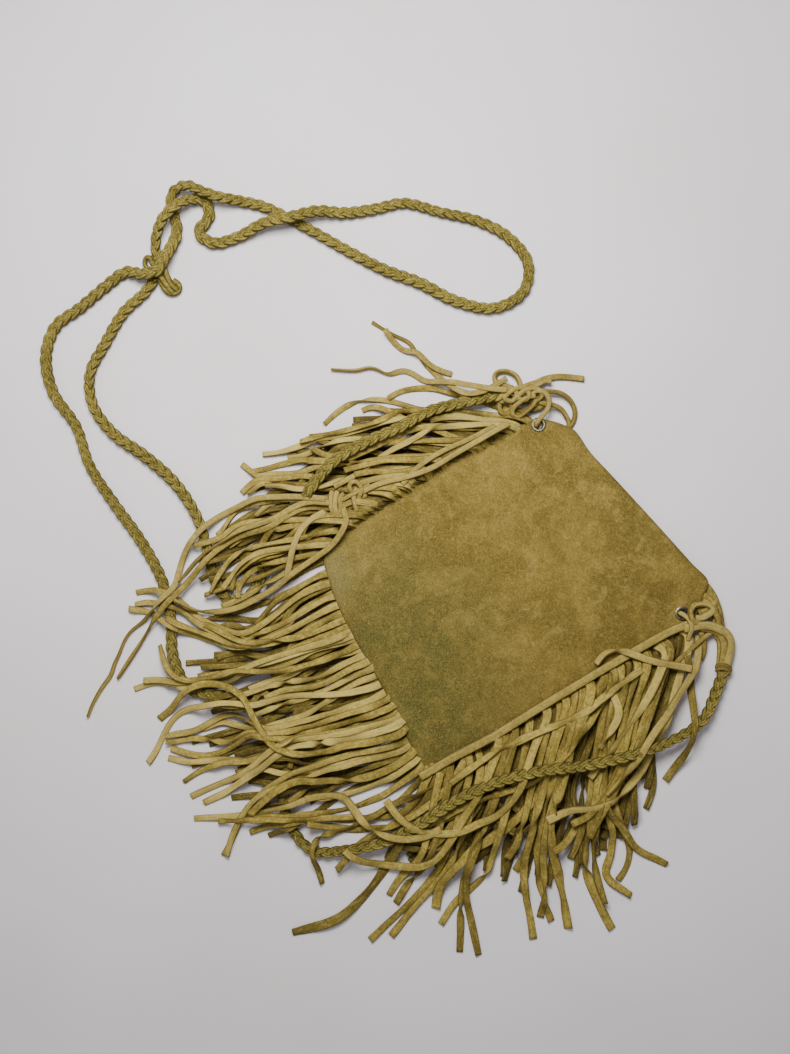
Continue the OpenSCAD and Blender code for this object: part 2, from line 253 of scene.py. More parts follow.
pile = Pile([-330, -330], [230, 250])


def lay(xy, w, t, roll=0.0, slope=0.8, root=None, run=9.0, floor=0.0, rise=0.0, stiff=2.2, tip=None):
    """Heights at which a strip of that width and thickness comes to lie on the pile."""
    n = len(xy)
    roll = np.broadcast_to(np.asarray(roll, float), (n,))
    d = arc(xy)
    step = d[-1] / (n - 1)
    s = unit(np.gradient(xy, axis=0))
    s = np.stack([-s[:, 1], s[:, 0]], 1)
    half = 0.78 * w / 2 * np.abs(np.sin(roll)) + t / 2 * np.abs(np.cos(roll))
    e = np.full(n, floor)
    for o in (-0.44, -0.22, 0, 0.22, 0.44):
        e = np.maximum(e, pile.at(xy + s * (o * w * np.abs(np.cos(roll)) )[:, None]))
    e = e + half + 0.06 + rise
    if root is not None:
        k = d < run * 0.75
        e[k] = half[k]
    z = e.copy()
    for i in range(1, n):
        z[i] = max(z[i], z[i - 1] - slope * step)
    for i in range(n - 2, -1, -1):
        z[i] = max(z[i], z[i + 1] - slope * step)
    for _ in range(3):
        z = np.maximum(blur(z, stiff / step), e)
    z = blur(z, 1.1 / step)
    z = np.where(z > 15, 15 + (z - 15) * 0.55, z)
    z = np.maximum(z, w / 2 * np.abs(np.sin(roll)) + t / 2 * np.abs(np.cos(roll)))
    if root is not None:
        b = smooth(d / run)
        z = root * (1 - b) + z * b
    return z


def drop(xy, z, w, t, roll=0.0):
    n = len(xy)
    roll = np.broadcast_to(np.asarray(roll, float), (n,))
    s = unit(np.gradient(xy, axis=0))
    s = np.stack([-s[:, 1], s[:, 0]], 1)
    for o in np.linspace(-0.5, 0.5, 7):
        a = o * w * np.cos(roll)
        top = z + t / 2 * np.abs(np.cos(roll)) + np.abs(o) * 0 + o * w * np.sin(roll)
        pile.put(xy + s * a[:, None], top)


def drop_round(xy, z, r):
    s = unit(np.gradient(xy, axis=0))
    s = np.stack([-s[:, 1], s[:, 0]], 1)
    for o in np.linspace(-0.95, 0.95, 9):
        pile.put(xy + s * (o * r), z + r * math.sqrt(1 - o * o))


def pts(text):
    return np.array([[float(a) for a in q.split(",")] for q in text.split()])


# ---------------------------------------------------------------- materials
def srgb(r, g, b):
    return tuple((c / 255 / 12.92) if c / 255 <= 0.04045 else ((c / 255 + 0.055) / 1.055) ** 2.4
                 for c in (r, g, b)) + (1.0,)


class Nodes:
    def __init__(self, name):
        self.mat = bpy.data.materials.new(name)
        self.mat.use_nodes = True
        self.t = self.mat.node_tree
        self.t.nodes.clear()
        self.out = self.t.nodes.new("ShaderNodeOutputMaterial")
        self.bsdf = self.t.nodes.new("ShaderNodeBsdfPrincipled")
        self.t.links.new(self.bsdf.outputs[0], self.out.inputs[0])

    def add(self, kind, **values):
        n = self.t.nodes.new("ShaderNode" + kind)
        for k, v in values.items():
            if k in n.inputs.keys():
                n.inputs[k].default_value = v
            else:
                setattr(n, k, v)
        return n

    def link(self, a, b):
        self.t.links.new(a, b)

    def noise(self, vec, scale, detail=3.0, rough=0.55, dist=0.0):
        n = self.add("TexNoise", Scale=scale, Detail=detail, Roughness=rough, Distortion=dist)
        self.link(vec, n.inputs["Vector"])
        return n.outputs["Fac"]

    def ramp(self, fac, lo, hi, a=0.0, b=1.0):
        n = self.add("MapRange", clamp=True)
        n.interpolation_type = "SMOOTHSTEP"
        self.link(fac, n.inputs["Value"])
        n.inputs["From Min"].default_value, n.inputs["From Max"].default_value = lo, hi
        n.inputs["To Min"].default_value, n.inputs["To Max"].default_value = a, b
        return n.outputs["Result"]

    def mix(self, fac, a, b, mode="MIX"):
        n = self.t.nodes.new("ShaderNodeMix")
        n.data_type = "RGBA"
        n.blend_type = mode
        for src, sock in ((fac, n.inputs[0]), (a, n.inputs[6]), (b, n.inputs[7])):
            if isinstance(src, (int, float)):
                sock.default_value = src
            elif isinstance(src, tuple):
                sock.default_value = src
            else:
                self.link(src, sock)
        return n.outputs[2]

    def math(self, op, a, b=0.0, c=0.0):
        n = self.t.nodes.new("ShaderNodeMath")
        n.operation = op
        for src, sock in ((a, n.inputs[0]), (b, n.inputs[1]), (c, n.inputs[2])):
            if isinstance(src, (int, float)):
                sock.default_value = src
            else:
                self.link(src, sock)
        return n.outputs[0]

    def where(self):
        return self.add("TexCoord").outputs["Object"]

    def attr(self, name, out="Fac"):
        n = self.add("Attribute")
        n.attribute_name = name
        return n.outputs[out]

    def ball(self, vec, centre, radius, soft):
        """1 inside a round patch, falling to 0 over its soft edge."""
        d = self.t.nodes.new("ShaderNodeVectorMath")
        d.operation = "DISTANCE"
        self.link(vec, d.inputs[0])
        d.inputs[1].default_value = centre
        return self.ramp(d.outputs["Value"], radius + soft, radius, 0.0, 1.0)

    def bump(self, height, strength, distance):
        n = self.add("Bump", Strength=strength, Distance=distance)
        self.link(height, n.inputs["Height"])
        return n.outputs["Normal"]


def suede(name, mid, dark, light, strips=False, contrast=1.0):
    """Brushed suede: mottled nap, fine grain and worn, lighter high spots."""
    m = Nodes(name)
    at = m.attr("rest", "Vector") if not strips else m.where()
    big = m.noise(at, 24, 3, 0.6, 0.6)
    mid_n = m.noise(at, 75, 5, 0.66, 1.0)
    small = m.noise(at, 430, 4, 0.65, 0.4)
    fine = m.noise(at, 1700, 3, 0.75)
    nap = m.noise(at, 760 if strips else 1050, 5, 0.82, 1.6)
    patch = 0.3 if strips else 1.0
    col = m.mix(m.ramp(big, 0.62, 0.40, 0.0, patch), mid, dark)
    col = m.mix(m.math("MULTIPLY", m.ramp(mid_n, 0.48, 0.68), 0.60 * contrast * patch), col, light)
    col = m.mix(m.math("MULTIPLY", m.ramp(mid_n, 0.50, 0.32), 0.70 * contrast * patch), col, dark)
    col = m.mix(m.math("MULTIPLY", m.ramp(small, 0.50, 0.70), 0.45 * contrast), col, light)
    col = m.mix(m.math("MULTIPLY", m.ramp(small, 0.50, 0.32), 0.45 * contrast), col, dark)
    return m, at, col, (big, mid_n, small, fine, nap)


def finish_suede(m, col, noises, sheen, tint, strength, rough=0.92, deep=0.0007):
    big, mid_n, small, fine, nap = noises
    m.link(col, m.bsdf.inputs["Base Color"])
    h = m.math("ADD", m.math("MULTIPLY", small, 0.35), m.math("ADD", m.math("MULTIPLY", nap, 0.5), m.math("MULTIPLY", fine, 0.15)))
    m.link(m.bump(h, strength, deep), m.bsdf.inputs["Normal"])
    r = m.ramp(small, 0.3, 0.75, rough - 0.07, rough + 0.05)
    m.link(r, m.bsdf.inputs["Roughness"])
    m.bsdf.inputs["Sheen Weight"].default_value = sheen
    m.bsdf.inputs["Sheen Roughness"].default_value = 0.4
    m.bsdf.inputs["Sheen Tint"].default_value = tint
    m.bsdf.inputs["Specular IOR Level"].default_value = 0.08
    return m.mat


def panel_material(name):
    m, at, col, ns = suede(name, srgb(136, 115, 53), srgb(102, 86, 34), srgb(162, 141, 74), contrast=0.9)
    # a greener, darker worn area low on the panel, and a browner right corner
    wob = m.t.nodes.new("ShaderNodeVectorMath")
    wob.operation = "MULTIPLY_ADD"
    wn = m.add("TexNoise", Scale=30.0, Detail=4.0, Roughness=0.65)
    m.link(at, wn.inputs["Vector"])
    m.link(wn.outputs["Color"], wob.inputs[0])
    wob.inputs[1].default_value = (0.075, 0.075, 0.03)
    m.link(at, wob.inputs[2])
    w = wob.outputs[0]
    patchy = m.ramp(ns[1], 0.34, 0.60, 1.0, 0.62)
    # painted highlight: a lighter round patch on the left part of the panel
    left = m.ball(w, (-0.055, -0.065, 0.025), 0.015, 0.075)
    col = m.mix(m.math("MULTIPLY", left, 0.35), col, srgb(166, 144, 78))
    g1 = m.ball(w, (0.038, -0.050, 0.025), 0.022, 0.082)
    g2 = m.ball(w, (0.086, -0.082, 0.025), 0.034, 0.090)
    g = m.math("MAXIMUM", g1, g2)
    col = m.mix(m.math("MULTIPLY", g, m.math("MULTIPLY", patchy, 0.9)), col, srgb(78, 79, 38))
    dusty = m.ball(w, (-0.030, -0.070, 0.025), 0.003, 0.036)
    col = m.mix(m.math("MULTIPLY", dusty, m.math("MULTIPLY", patchy, 0.45)), col, srgb(128, 126, 84))
    brown = m.ball(w, (0.130, 0.120, 0.025), 0.012, 0.060)
    col = m.mix(m.math("MULTIPLY", brown, 0.15), col, srgb(104, 83, 28))
    pale = m.ball(w, (0.030, 0.045, 0.025), 0.010, 0.080)
    col = m.mix(m.math("MULTIPLY", pale, 0.08), col, srgb(151, 129, 59))
    # cloudy blotches, pale scuffs and dark specks in the nap
    cl = m.noise(at, 26, 4, 0.55, 1.0)
    col = m.mix(m.ramp(cl, 0.48, 0.68, 0.0, 0.42), col, srgb(92, 77, 30))
    sc = m.noise(at, 260, 5, 0.78, 1.6)
    col = m.mix(m.ramp(sc, 0.56, 0.72, 0.0, 0.34), col, srgb(180, 161, 94))
    col = m.mix(m.ramp(sc, 0.44, 0.30, 0.0, 0.38), col, srgb(72, 61, 24))
    col = m.mix(m.ramp(ns[4], 0.51, 0.62, 0.0, 0.52), col, srgb(190, 168, 98))
    col = m.mix(m.ramp(ns[4], 0.50, 0.39, 0.0, 0.54), col, srgb(58, 49, 19))
    col = m.mix(m.math("MULTIPLY", m.ramp(ns[3], 0.52, 0.72), 0.2), col, srgb(197, 176, 102))
    col = m.mix(m.math("MULTIPLY", m.ramp(ns[3], 0.48, 0.30), 0.3), col, srgb(61, 51, 17))
    # painted shade: the panel darkens towards its rounded rim
    col = m.mix(m.math("MULTIPLY", m.attr("edge"), 0.45), col, srgb(70, 57, 23))
    return finish_suede(m, col, ns, 0.05, (0.95, 0.88, 0.62, 1), 0.9, deep=0.0009)


def strip_material(name, mid, dark, light, side, strength=0.6, sheen=0.12, nap=0.4, rim=0.74):
    m, at, col, ns = suede(name, mid, dark, light, strips=True)
    tone = m.attr("tone")
    # tone: each strip's own lighter or darker tone, plus region and layer offsets that are partly painted shade and
    # painted light
    col = m.mix(m.ramp(tone, 0.0, 1.0, 0.0, 0.60), col, light)
    col = m.mix(m.ramp(tone, 0.0, -1.3, 0.0, 0.92), col, dark)
    # streaks along each strip, and its darker sides: partly the cut edges' own colour, partly painted shade on the
    # rounded sides
    st = m.add("TexNoise", Scale=1.6, Detail=3.0, Roughness=0.6)
    m.link(m.attr("strand", "Vector"), st.inputs["Vector"])
    col = m.mix(m.ramp(st.outputs["Fac"], 0.52, 0.68, 0.0, 0.26), col, light)
    col = m.mix(m.ramp(st.outputs["Fac"], 0.48, 0.32, 0.0, 0.30), col, dark)
    col = m.mix(m.ramp(ns[4], 0.52, 0.66, 0.0, nap), col, light)
    col = m.mix(m.ramp(ns[4], 0.49, 0.36, 0.0, nap), col, dark)
    ac = m.math("ABSOLUTE", m.attr("across"))
    col = m.mix(m.ramp(ac, rim, 0.98, 0.0, 0.85), col, side)
    col = m.mix(m.math("MULTIPLY", m.attr("wear"), 0.6), col, dark)
    return finish_suede(m, col, ns, sheen, (0.95, 0.88, 0.62, 1), strength)


FRINGE = strip_material("suede_fringe", srgb(150, 130, 58), srgb(78, 66, 27), srgb(206, 185, 106), srgb(90, 75, 32), sheen=0.05)
LACE = strip_material("suede_lace", srgb(143, 124, 57), srgb(80, 67, 28), srgb(194, 173, 101), srgb(92, 76, 34), sheen=0.05)
# the braid's low rim lets its very dark side colour cover most of each strand: painted shade between the strands
BRAID = strip_material("suede_braid", srgb(128, 114, 49), srgb(58, 51, 19), srgb(190, 173, 96), srgb(50, 43, 16), 0.9, 0.06, nap=0.8, rim=0.25)
FRONT = panel_material("suede_front")
BACK = panel_material("suede_back")


def metal_material():
    m = Nodes("worn_nickel")
    at = m.where()
    n1 = m.noise(at, 700, 4, 0.7)
    n2 = m.noise(at, 2600, 2, 0.6)
    col = m.mix(m.ramp(n1, 0.42, 0.68), srgb(150, 142, 118), srgb(92, 80, 52))
    m.link(col, m.bsdf.inputs["Base Color"])
    m.bsdf.inputs["Metallic"].default_value = 1.0
    m.link(m.ramp(n2, 0.3, 0.7, 0.26, 0.5), m.bsdf.inputs["Roughness"])
    m.link(m.bump(n2, 0.25, 0.0002), m.bsdf.inputs["Normal"])
    return m.mat


def thread_material():
    m = Nodes("waxed_thread")
    at = m.where()
    n1 = m.noise(at, 1500, 3, 0.6)
    col = m.mix(m.ramp(n1, 0.35, 0.65), srgb(120, 98, 50), srgb(170, 146, 88))
    m.link(col, m.bsdf.inputs["Base Color"])
    m.bsdf.inputs["Roughness"].default_value = 0.75
    w = m.add("TexWave", Scale=900.0, Distortion=1.0)
    m.link(at, w.inputs["Vector"])
    m.link(m.bump(w.outputs["Fac"], 0.5, 0.0003), m.bsdf.inputs["Normal"])
    return m.mat


METAL, THREAD = metal_material(), thread_material()

# ------------------------------------------------------------------- strap
STRAP = [[506, 394, 8], [488, 397, 11], [456, 404, 12.5], [427, 412, 12.5], [400, 427, 12.5],
         [368, 441, 12.5], [338, 458, 12.5], [318, 478, 11.5], [303, 500, 8], [287, 524, 6],
         [275, 548, 4.6], [262, 576, 4.6], [246, 598, 4.6], [228, 599, 4.6], [214, 578, 4.6],
         [207, 548, 4.6], [196, 515, 4.6], [175, 483, 4.6], [145, 456, 4.6], [113, 433, 4.6],
         [93, 405, 4.6], [90, 374, 4.6], [106, 342, 4.6], [124, 312, 4.6], [146, 291, 4.6],
         [156, 274, 4.6], [156, 256, 4.6], [156, 238, 6.5], [163, 218, 14], [176, 205, 14.6],
         [193, 199, 7.5], [206, 202, 4.6], [209, 217, 4.6], [199, 232, 4.6], [213, 243, 4.6],
         [238, 237, 5], [264, 223, 11], [290, 217, 14.6], [317, 211, 10.5], [345, 213, 5],
         [375, 209, 4.6], [404, 203, 4.6], [440, 212, 4.6], [478, 221, 4.6], [508, 237, 4.6],
         [528, 263, 4.6], [523, 292, 4.6], [494, 308, 4.6], [456, 301, 4.6], [420, 283, 4.6],
         [385, 270, 4.6], [350, 252, 4.6], [318, 234, 4.6], [290, 219, 4.6], [262, 206, 4.6],
         [240, 201, 6], [220, 197, 12.5], [202, 191, 14.6], [186, 185, 12.5], [172, 194, 5.5],
         [172, 210, 4.6], [177, 226, 4.6], [174, 241, 6], [165, 257, 12.5], [157, 270, 14.6],
         [143, 274, 11], [126, 272, 5], [106, 286, 4.6], [80, 308, 4.6], [56, 326, 4.6],
         [46, 356, 4.6], [53, 392, 4.6], [76, 426, 4.6], [90, 466, 4.6], [116, 506, 4.6],
         [141, 541, 4.6], [162, 580, 4.6], [171, 618, 4.6], [173, 656, 4.6], [188, 687, 4.6],
         [222, 696, 4.6], [258, 704, 4.6], [278, 732, 4.6], [282, 775, 4.6], [288, 820, 4.6],
         [312, 850, 4.6], [348, 850, 6.5], [384, 842, 9.5], [420, 824, 12.5], [457, 800, 12.5],
         [498, 782, 12.5], [541, 771, 12.5], [583, 766, 12.5], [625, 757, 12.5], [667, 743, 12.5],
         [702, 721, 11], [716, 692, 7.5], [724, 670, 6.3]]
S = np.array(STRAP, float)
strap = spline(np.column_stack([row(S), S[:, 2]]), 1.0)
s_arc = arc(strap)
# where the strap comes up out of the fringe (first stretch) and lies on it (last stretch)
key_at = []
for q in range(len(S)):
    key_at.append(int(np.argmin(np.linalg.norm(strap - np.append(row(S[q]), S[q, 2]), axis=1))))
FIRST_END, LAST_START = key_at[8], key_at[86]
over_fringe = np.zeros(len(strap), bool)
over_fringe[:FIRST_END] = True
over_fringe[LAST_START:] = True
low = ~over_fringe
# the low stretches lie on the floor and the fringe lies on them
edge_on = np.concatenate([np.arange(FIRST_END, len(strap))[: 0], np.where(low)[0]])
drop_round(strap[edge_on][:, :2], strap[edge_on][:, 2], 4.5)

# -------------------------------------------------------------- the fringe
LEFT_EDGE = pts("534,424 520,430 500,440 480,450 460,460 440,470 420,481 402,492 390,499 380,505 368,512 354,523 342,535 333,548 328,562")
BOTTOM_EDGE = pts("326,568 331,585 339,606 347,624 356,644 366,660 377,676 388,690 397,705 404,720 412,740 420,756 428,768")
RIGHT_EDGE = pts("432,770 450,762 480,748 510,734 540,716 570,697 600,678 630,660 660,644 690,630")


def combed(roots, mids, tips, n, lo, hi, jitter, tone, shift=0.5):
    """Strips between three lines of points, for the layers under the visible ones."""
    out = []
    for i in range(n):
        s = (i + shift) / n + rng.normal(0, 0.12 / n)
        s = min(max(s, 0.0), 1.0)
        def on(l):
            l = np.asarray(l, float)
            d = arc(l)
            return np.array([np.interp(s * d[-1], d, l[:, k]) for k in range(2)])
        a, b, c = on(roots), on(mids), on(tips)
        k = rng.uniform(lo, hi)
        wob = rng.normal(0, jitter, (3, 2))
        p = [a + (a - b) / np.linalg.norm(a - b) * 7, a, a + (b - a) * 0.45 + wob[0] * 0.35, b + wob[1]]
        c2 = b + (c - b) * k + wob[2] * 1.3
        p += [b + (c2 - b) * 0.5 + wob[0] * 0.8, c2]
        out.append((np.array(p), tone))
    return out


# the lower layers get low tones: painted shade under the visible strips
FILL = []
FILL += combed(LEFT_EDGE[1:12], pts("432,412 395,430 355,450 318,470 292,496 275,525 262,560"), pts("350,420 300,440 268,462 252,492 228,522 195,562 168,600"), 20, 0.35, 0.9, 4, -0.9)
FILL += combed(LEFT_EDGE[1:12], pts("445,404 405,422 362,444 327,465 302,492 284,522 270,556"), pts("360,408 310,430 275,456 258,486 238,514 208,552 183,592"), 20, 0.2, 0.8, 5, -0.6, 0.98)
FILL += combed(BOTTOM_EDGE, pts("262,600 265,628 272,655 285,682 300,715 318,750 345,785"), pts("165,604 170,640 175,672 172,705 175,740 195,775 225,820"), 24, 0.4, 0.95, 5, -0.9)
FILL += combed(BOTTOM_EDGE, pts("268,610 268,636 276,662 290,692 304,722 322,756 350,790"), pts("175,612 185,648 190,680 182,712 188,748 205,782 240,826"), 24, 0.2, 0.8, 6, -0.5, 0.98)
FILL += combed(RIGHT_EDGE, pts("412,806 446,812 480,815 512,811 545,803 580,792 612,776 648,748"), pts("365,875 400,900 438,918 480,922 520,912 560,900 598,880 634,830"), 30, 0.25, 0.85, 5, -1.0)
FILL += combed(RIGHT_EDGE, pts("415,802 448,808 482,811 515,806 548,798 584,786 616,770 652,742"), pts("372,868 408,892 445,910 486,918 528,905 570,890 608,868 642,818"), 26, 0.05, 0.7, 7, -0.8, 0.98)

# Each line: w width mm, t tone, then a slash and the points from the seam outwards.
LEFT = """
4.4 0.1 / 470,412 445,412 421,410 400,403 380,399 362,400 345,406 332,416 324,424
4.4 0.0 / 480,400 455,394 435,388 415,388 397,392 388,398
4.2 0.2 / 420,425 400,418 385,410 372,406 362,410
4.8 0.8 / 420,418 400,420 378,425 355,432 335,437 315,439 300,446 280,452 262,454
4.4 0.1 / 400,412 385,420 365,427 340,433 318,437 300,442
4.4 0.3 / 360,440 335,443 315,450 300,456 287,457
4.4 0.0 / 365,447 350,455 330,457 318,452 312,448
4.4 0.2 / 420,460 390,460 360,463 335,462 315,461 300,460 285,463 268,468 252,471
4.4 0.4 / 410,470 380,468 330,465 312,469 300,473 285,474 270,474 256,478
4.4 0.1 / 360,486 330,486 300,485 275,482 258,477 249,470 241,464
4.6 0.2 / 370,480 345,478 320,478 300,476 280,479 262,479 250,484 241,493
4.4 0.0 / 350,490 320,490 290,488 272,486 262,482 256,488 247,494
4.6 0.8 / 390,482 345,480 320,488 300,490 282,486 266,486
5.6 0.5 / 520,428 500,423 480,420 460,417 440,418 430,421
4.8 0.2 / 488,428 462,428 432,427 410,431 390,440 368,451 345,461 325,462 308,461
4.6 0.8 / 440,428 425,433 408,443 390,452 375,462 360,473 345,481 335,487
4.4 0.3 / 478,445 445,455 420,457 395,458 370,462 350,464
4.4 0.0 / 440,460 415,461 390,461 365,466 345,471
4.4 0.3 / 425,470 400,473 375,472 355,475
4.4 0.5 / 410,478 385,478 365,482 350,488
4.4 0.2 / 400,490 380,487 362,490
4.4 -0.2 / 360,500 330,497 305,505 288,516 272,530 262,545
4.4 -0.1 / 352,512 330,516 306,524 288,538 270,548 252,556
4.4 0.0 / 346,520 326,526 304,540 284,552 262,560 240,566
4.4 0.1 / 340,535 322,545 300,556 280,568 262,576 245,581 225,588 205,595
4.4 0.2 / 334,548 316,556 296,566 276,578 256,590 238,600 222,606
4.2 0.0 / 330,558 312,566 292,578 270,590 250,601 232,610 214,616
4.2 0.3 / 312,520 303,535 301,546 302,557
4.2 0.1 / 330,540 290,548 270,553 255,560 243,568 235,578 232,590
4.2 0.4 / 340,530 300,538 275,543 255,547 240,552 228,562 220,575 212,592
4.2 0.2 / 318,545 285,548 262,552 247,560 236,570 228,582 224,588
4.2 0.1 / 328,552 285,560 262,566 248,575 238,590 240,597
4.6 0.6 / 330,500 305,498 285,500 270,503 262,510 256,516
4.2 0.3 / 280,500 260,503 245,507 236,510 228,520 220,533 216,535
4.2 0.3 / 318,520 285,520 262,521 243,523 230,530 220,538 208,542 194,546
"""
BOTTOM = """
4.4 0.1 / 326,573 308,582 291,592 276,601 266,612 257,624
4.4 0.3 / 329,583 311,589 296,598 283,609 270,619 256,628 243,633 228,630 210,624 195,615 182,604 172,595 160,590 145,591 135,593
4.4 0.2 / 334,596 318,603 300,613 282,624 262,632 245,641 230,640 212,631 196,621 182,611 170,605 155,603 143,603 134,605
4.4 0.4 / 337,605 322,612 304,622 286,631 268,638 250,645 232,646 214,641 196,636 180,630 166,622 155,615 142,611 128,609
4.4 0.1 / 339,614 322,622 303,632 285,640 262,644 240,645 218,638 198,632 180,624 168,617
4.4 0.3 / 342,620 325,628 308,634 290,638 270,640 250,641 230,636 215,628 205,624
4.4 0.2 / 345,628 330,634 312,640 295,648 280,655 262,662 245,668 228,672 212,675 198,678
4.4 0.3 / 350,640 330,645 312,650 298,658 285,663 268,668 250,672 240,675
4.6 0.5 / 356,650 335,655 318,661 300,669 290,675 280,678 262,684 250,688
4.4 0.1 / 362,656 345,663 330,671 318,677 300,680 280,683 262,688 248,692 240,694
4.4 0.2 / 367,662 350,668 335,678 320,684 300,688 282,690 266,696
4.4 0.4 / 372,668 352,676 335,686 315,694 295,700 280,704 262,711 250,716
4.4 0.2 / 378,675 360,681 345,690 330,699 318,706 305,714 290,718 275,722 258,728 240,726 222,723 205,729 190,732 175,735
4.4 0.6 / 349,636 330,642 310,648 290,655 272,660 255,664 243,672 232,680 215,682 200,682 186,687 170,684 152,684 133,690
4.4 0.3 / 346,633 325,641 303,647 280,654 262,660 245,667 228,673 210,678 195,681 175,681 158,680 143,681
4.4 0.4 / 353,647 335,655 312,663 290,668 268,670 250,669 235,669 218,675 203,678 188,679 174,674 166,663 163,652 160,645
4.6 0.6 / 383,683 360,690 340,693 318,694 298,694 275,697 255,703 238,701 220,701 200,706 184,711 172,720 162,737 155,752 147,764
4.4 0.3 / 388,690 370,700 350,706 330,713 310,718 290,722 270,726 255,722 240,716 225,716 210,723 195,731 178,734 165,737
4.4 0.1 / 391,697 372,705 350,712 330,719 308,725 285,729 262,731 247,731 238,738 225,742 208,740 192,739 178,742 166,742
4.6 0.5 / 394,705 375,712 352,720 330,727 308,731 285,735 265,734 252,733 243,739 232,747 218,754 200,757 184,754 170,749
4.6 0.5 / 409,742 390,750 365,757 340,762 318,767 300,772 280,771 262,766 246,761 228,759 206,761 186,763 167,759
4.4 0.2 / 398,713 375,722 350,729 325,733 300,735 285,739 272,748 258,757 245,761 228,762 210,767 196,774 183,783
4.4 0.4 / 399,716 380,722 356,729 332,734 308,735 288,738 274,746 262,757 248,769 232,779 214,787 200,793 190,798
5.4 0.8 / 401,721 382,729 358,735 334,739 310,741 290,745 276,754 264,764 250,774 238,784 226,793 214,799 203,804
4.4 0.1 / 420,756 406,767 390,778 372,786 352,793 330,797 308,799 288,804 270,810 252,815 230,818 210,819 193,820
4.4 0.2 / 410,739 390,745 366,750 345,754 325,760 306,766 290,772 276,781 262,793 250,806 240,822 232,840 223,857
4.2 0.0 / 412,744 394,752 370,757 346,763 326,768 300,777 282,784 268,790 256,798 247,808 238,823 230,842 226,857
5.4 0.3 / 416,749 402,760 386,770 366,777 344,780 322,779 304,778 290,781 278,787 268,796 258,806 250,815
4.4 0.0 / 424,764 412,775 398,786 384,796 368,803 350,809 330,813 305,815 280,816 255,817
4.2 -0.2 / 400,802 372,818 345,822 325,820 305,820 288,822 272,826 260,830 249,834
4.4 -0.2 / 425,800 405,812 385,817 350,818 320,818 290,817 262,819 240,819 218,822
"""
RIGHT = """
4.4 -0.3 / 432,766 425,780 418,795 408,808 395,818
4.4 -0.3 / 440,765 436,785 428,800 415,812 400,822
4.6 0.4 / 448,762 445,780 438,797 428,810 410,820
5.4 0.5 / 470,800 455,822 440,833 425,839 408,840 393,838
4.4 -0.1 / 480,800 465,822 450,838 437,844 424,846
4.4 -0.4 / 440,835 425,845 405,846 390,843 376,838
4.4 -0.3 / 470,800 455,810 430,822 405,828 380,829 355,831 335,829 320,826 308,822
5.6 -0.2 / 445,760 430,790 415,815 402,838 392,858 380,877 368,893 354,908 338,920 318,928 292,934
4.0 -0.4 / 440,775 420,790 380,812 345,830 318,838 312,850 317,866 322,885
4.4 -0.3 / 450,780 430,800 400,820 370,838 352,850 343,862 337,870
4.4 -0.2 / 470,760 462,800 450,840 437,872 420,895 402,912 385,928 370,942
4.4 0.0 / 480,756 472,800 460,840 445,872 428,893 412,911 402,925 391,938
4.4 -0.2 / 450,764 444,800 434,840 422,868 408,885 396,905
4.4 -0.4 / 440,768 432,805 425,840 414,865 400,880 389,897
5.6 0.1 / 608,668 590,700 570,730 550,765 535,795 515,818 495,833 472,850 452,868 440,886 436,910
4.4 0.0 / 530,718 520,760 508,800 498,832 493,855 486,875 470,891 454,906 441,926
4.4 -0.1 / 505,732 496,780 480,830 466,870 461,905 461,930 460,954
4.4 0.0 / 515,728 500,780 482,830 468,868 466,895 471,920 479,957
4.4 0.1 / 548,708 540,750 530,790 522,820 514,845 507,858
4.4 -0.2 / 560,700 550,740 541,780 533,820 527,850 516,872
4.6 0.2 / 566,697 552,745 541,790 531,830 524,865 526,895 531,920 534,941
4.4 0.0 / 575,690 562,735 550,780 541,820 537,855 540,885 546,905 552,923
4.4 -0.2 / 583,686 568,735 555,785 545,825 543,860 545,890 541,919
5.6 0.2 / 590,682 572,735 558,785 549,820 551,845 558,872 564,900 569,930
4.4 0.0 / 640,660 615,720 598,770 585,810 572,835 562,843 552,847
4.4 -0.2 / 612,668 600,720 592,770 584,815 577,845 571,860
5.6 0.1 / 620,664 606,720 596,780 588,830 585,860 591,885 601,908 613,931
4.4 -0.2 / 628,660 612,720 601,780 594,830 594,858 599,882 605,903
4.6 0.1 / 636,657 622,715 611,770 606,810 613,835 611,858 606,874 612,884 622,890 632,897
4.4 -0.1 / 648,652 634,710 621,765 613,800 622,828 631,850 627,870 619,882
4.6 0.2 / 645,653 630,710 615,765 602,800 612,815 624,830 633,845 643,854 656,860 668,866
4.4 0.0 / 664,645 650,690 634,735 616,770 600,795 586,812 571,823
4.4 -0.2 / 668,643 652,695 633,745 612,785 598,810 587,834
4.8 0.7 / 688,632 680,670 665,715 650,750 637,775 618,792 598,802 578,806 560,809 545,816
4.8 0.8 / 662,648 652,680 638,705 622,728 608,748 598,760 588,775
4.6 0.6 / 618,668 610,690 616,708 608,728 596,745
4.4 -0.3 / 600,700 575,735 550,765 525,782 500,789 478,797 458,805 440,815 425,825
"""
TOP = """
5.0 0.4 / 404,731 385,737 365,742 345,744 328,750 308,753 290,751 274,743 262,728 252,711 246,698 236,689 218,684 203,683 190,688 178,699 170,710 157,721
4.6 0.2 / 500,735 490,765 478,790 465,812 452,835 440,853 425,864 405,868 385,867 366,862 353,855 345,848
4.6 0.3 / 548,711 535,740 525,765 519,785 510,801 496,814 478,822 458,829 438,831 420,827 405,820 394,810 386,800
4.6 0.8 / 440,826 425,833 405,836 388,834 372,829 360,820 352,809 344,799 332,796 318,797 305,800
4.6 0.7 / 640,668 618,683 600,697 582,711 560,721 538,730 515,740 495,749 478,761 462,772 449,781
4.4 -0.5 / 686,655 692,685 693,710 690,740 680,765 668,783
"""


def parse(block):
    out = []
    for line in block.strip().splitlines():
        head, body = line.split("/")
        w, t = (float(x) for x in head.split())
        out.append((w, t, pts(body)))
    return out


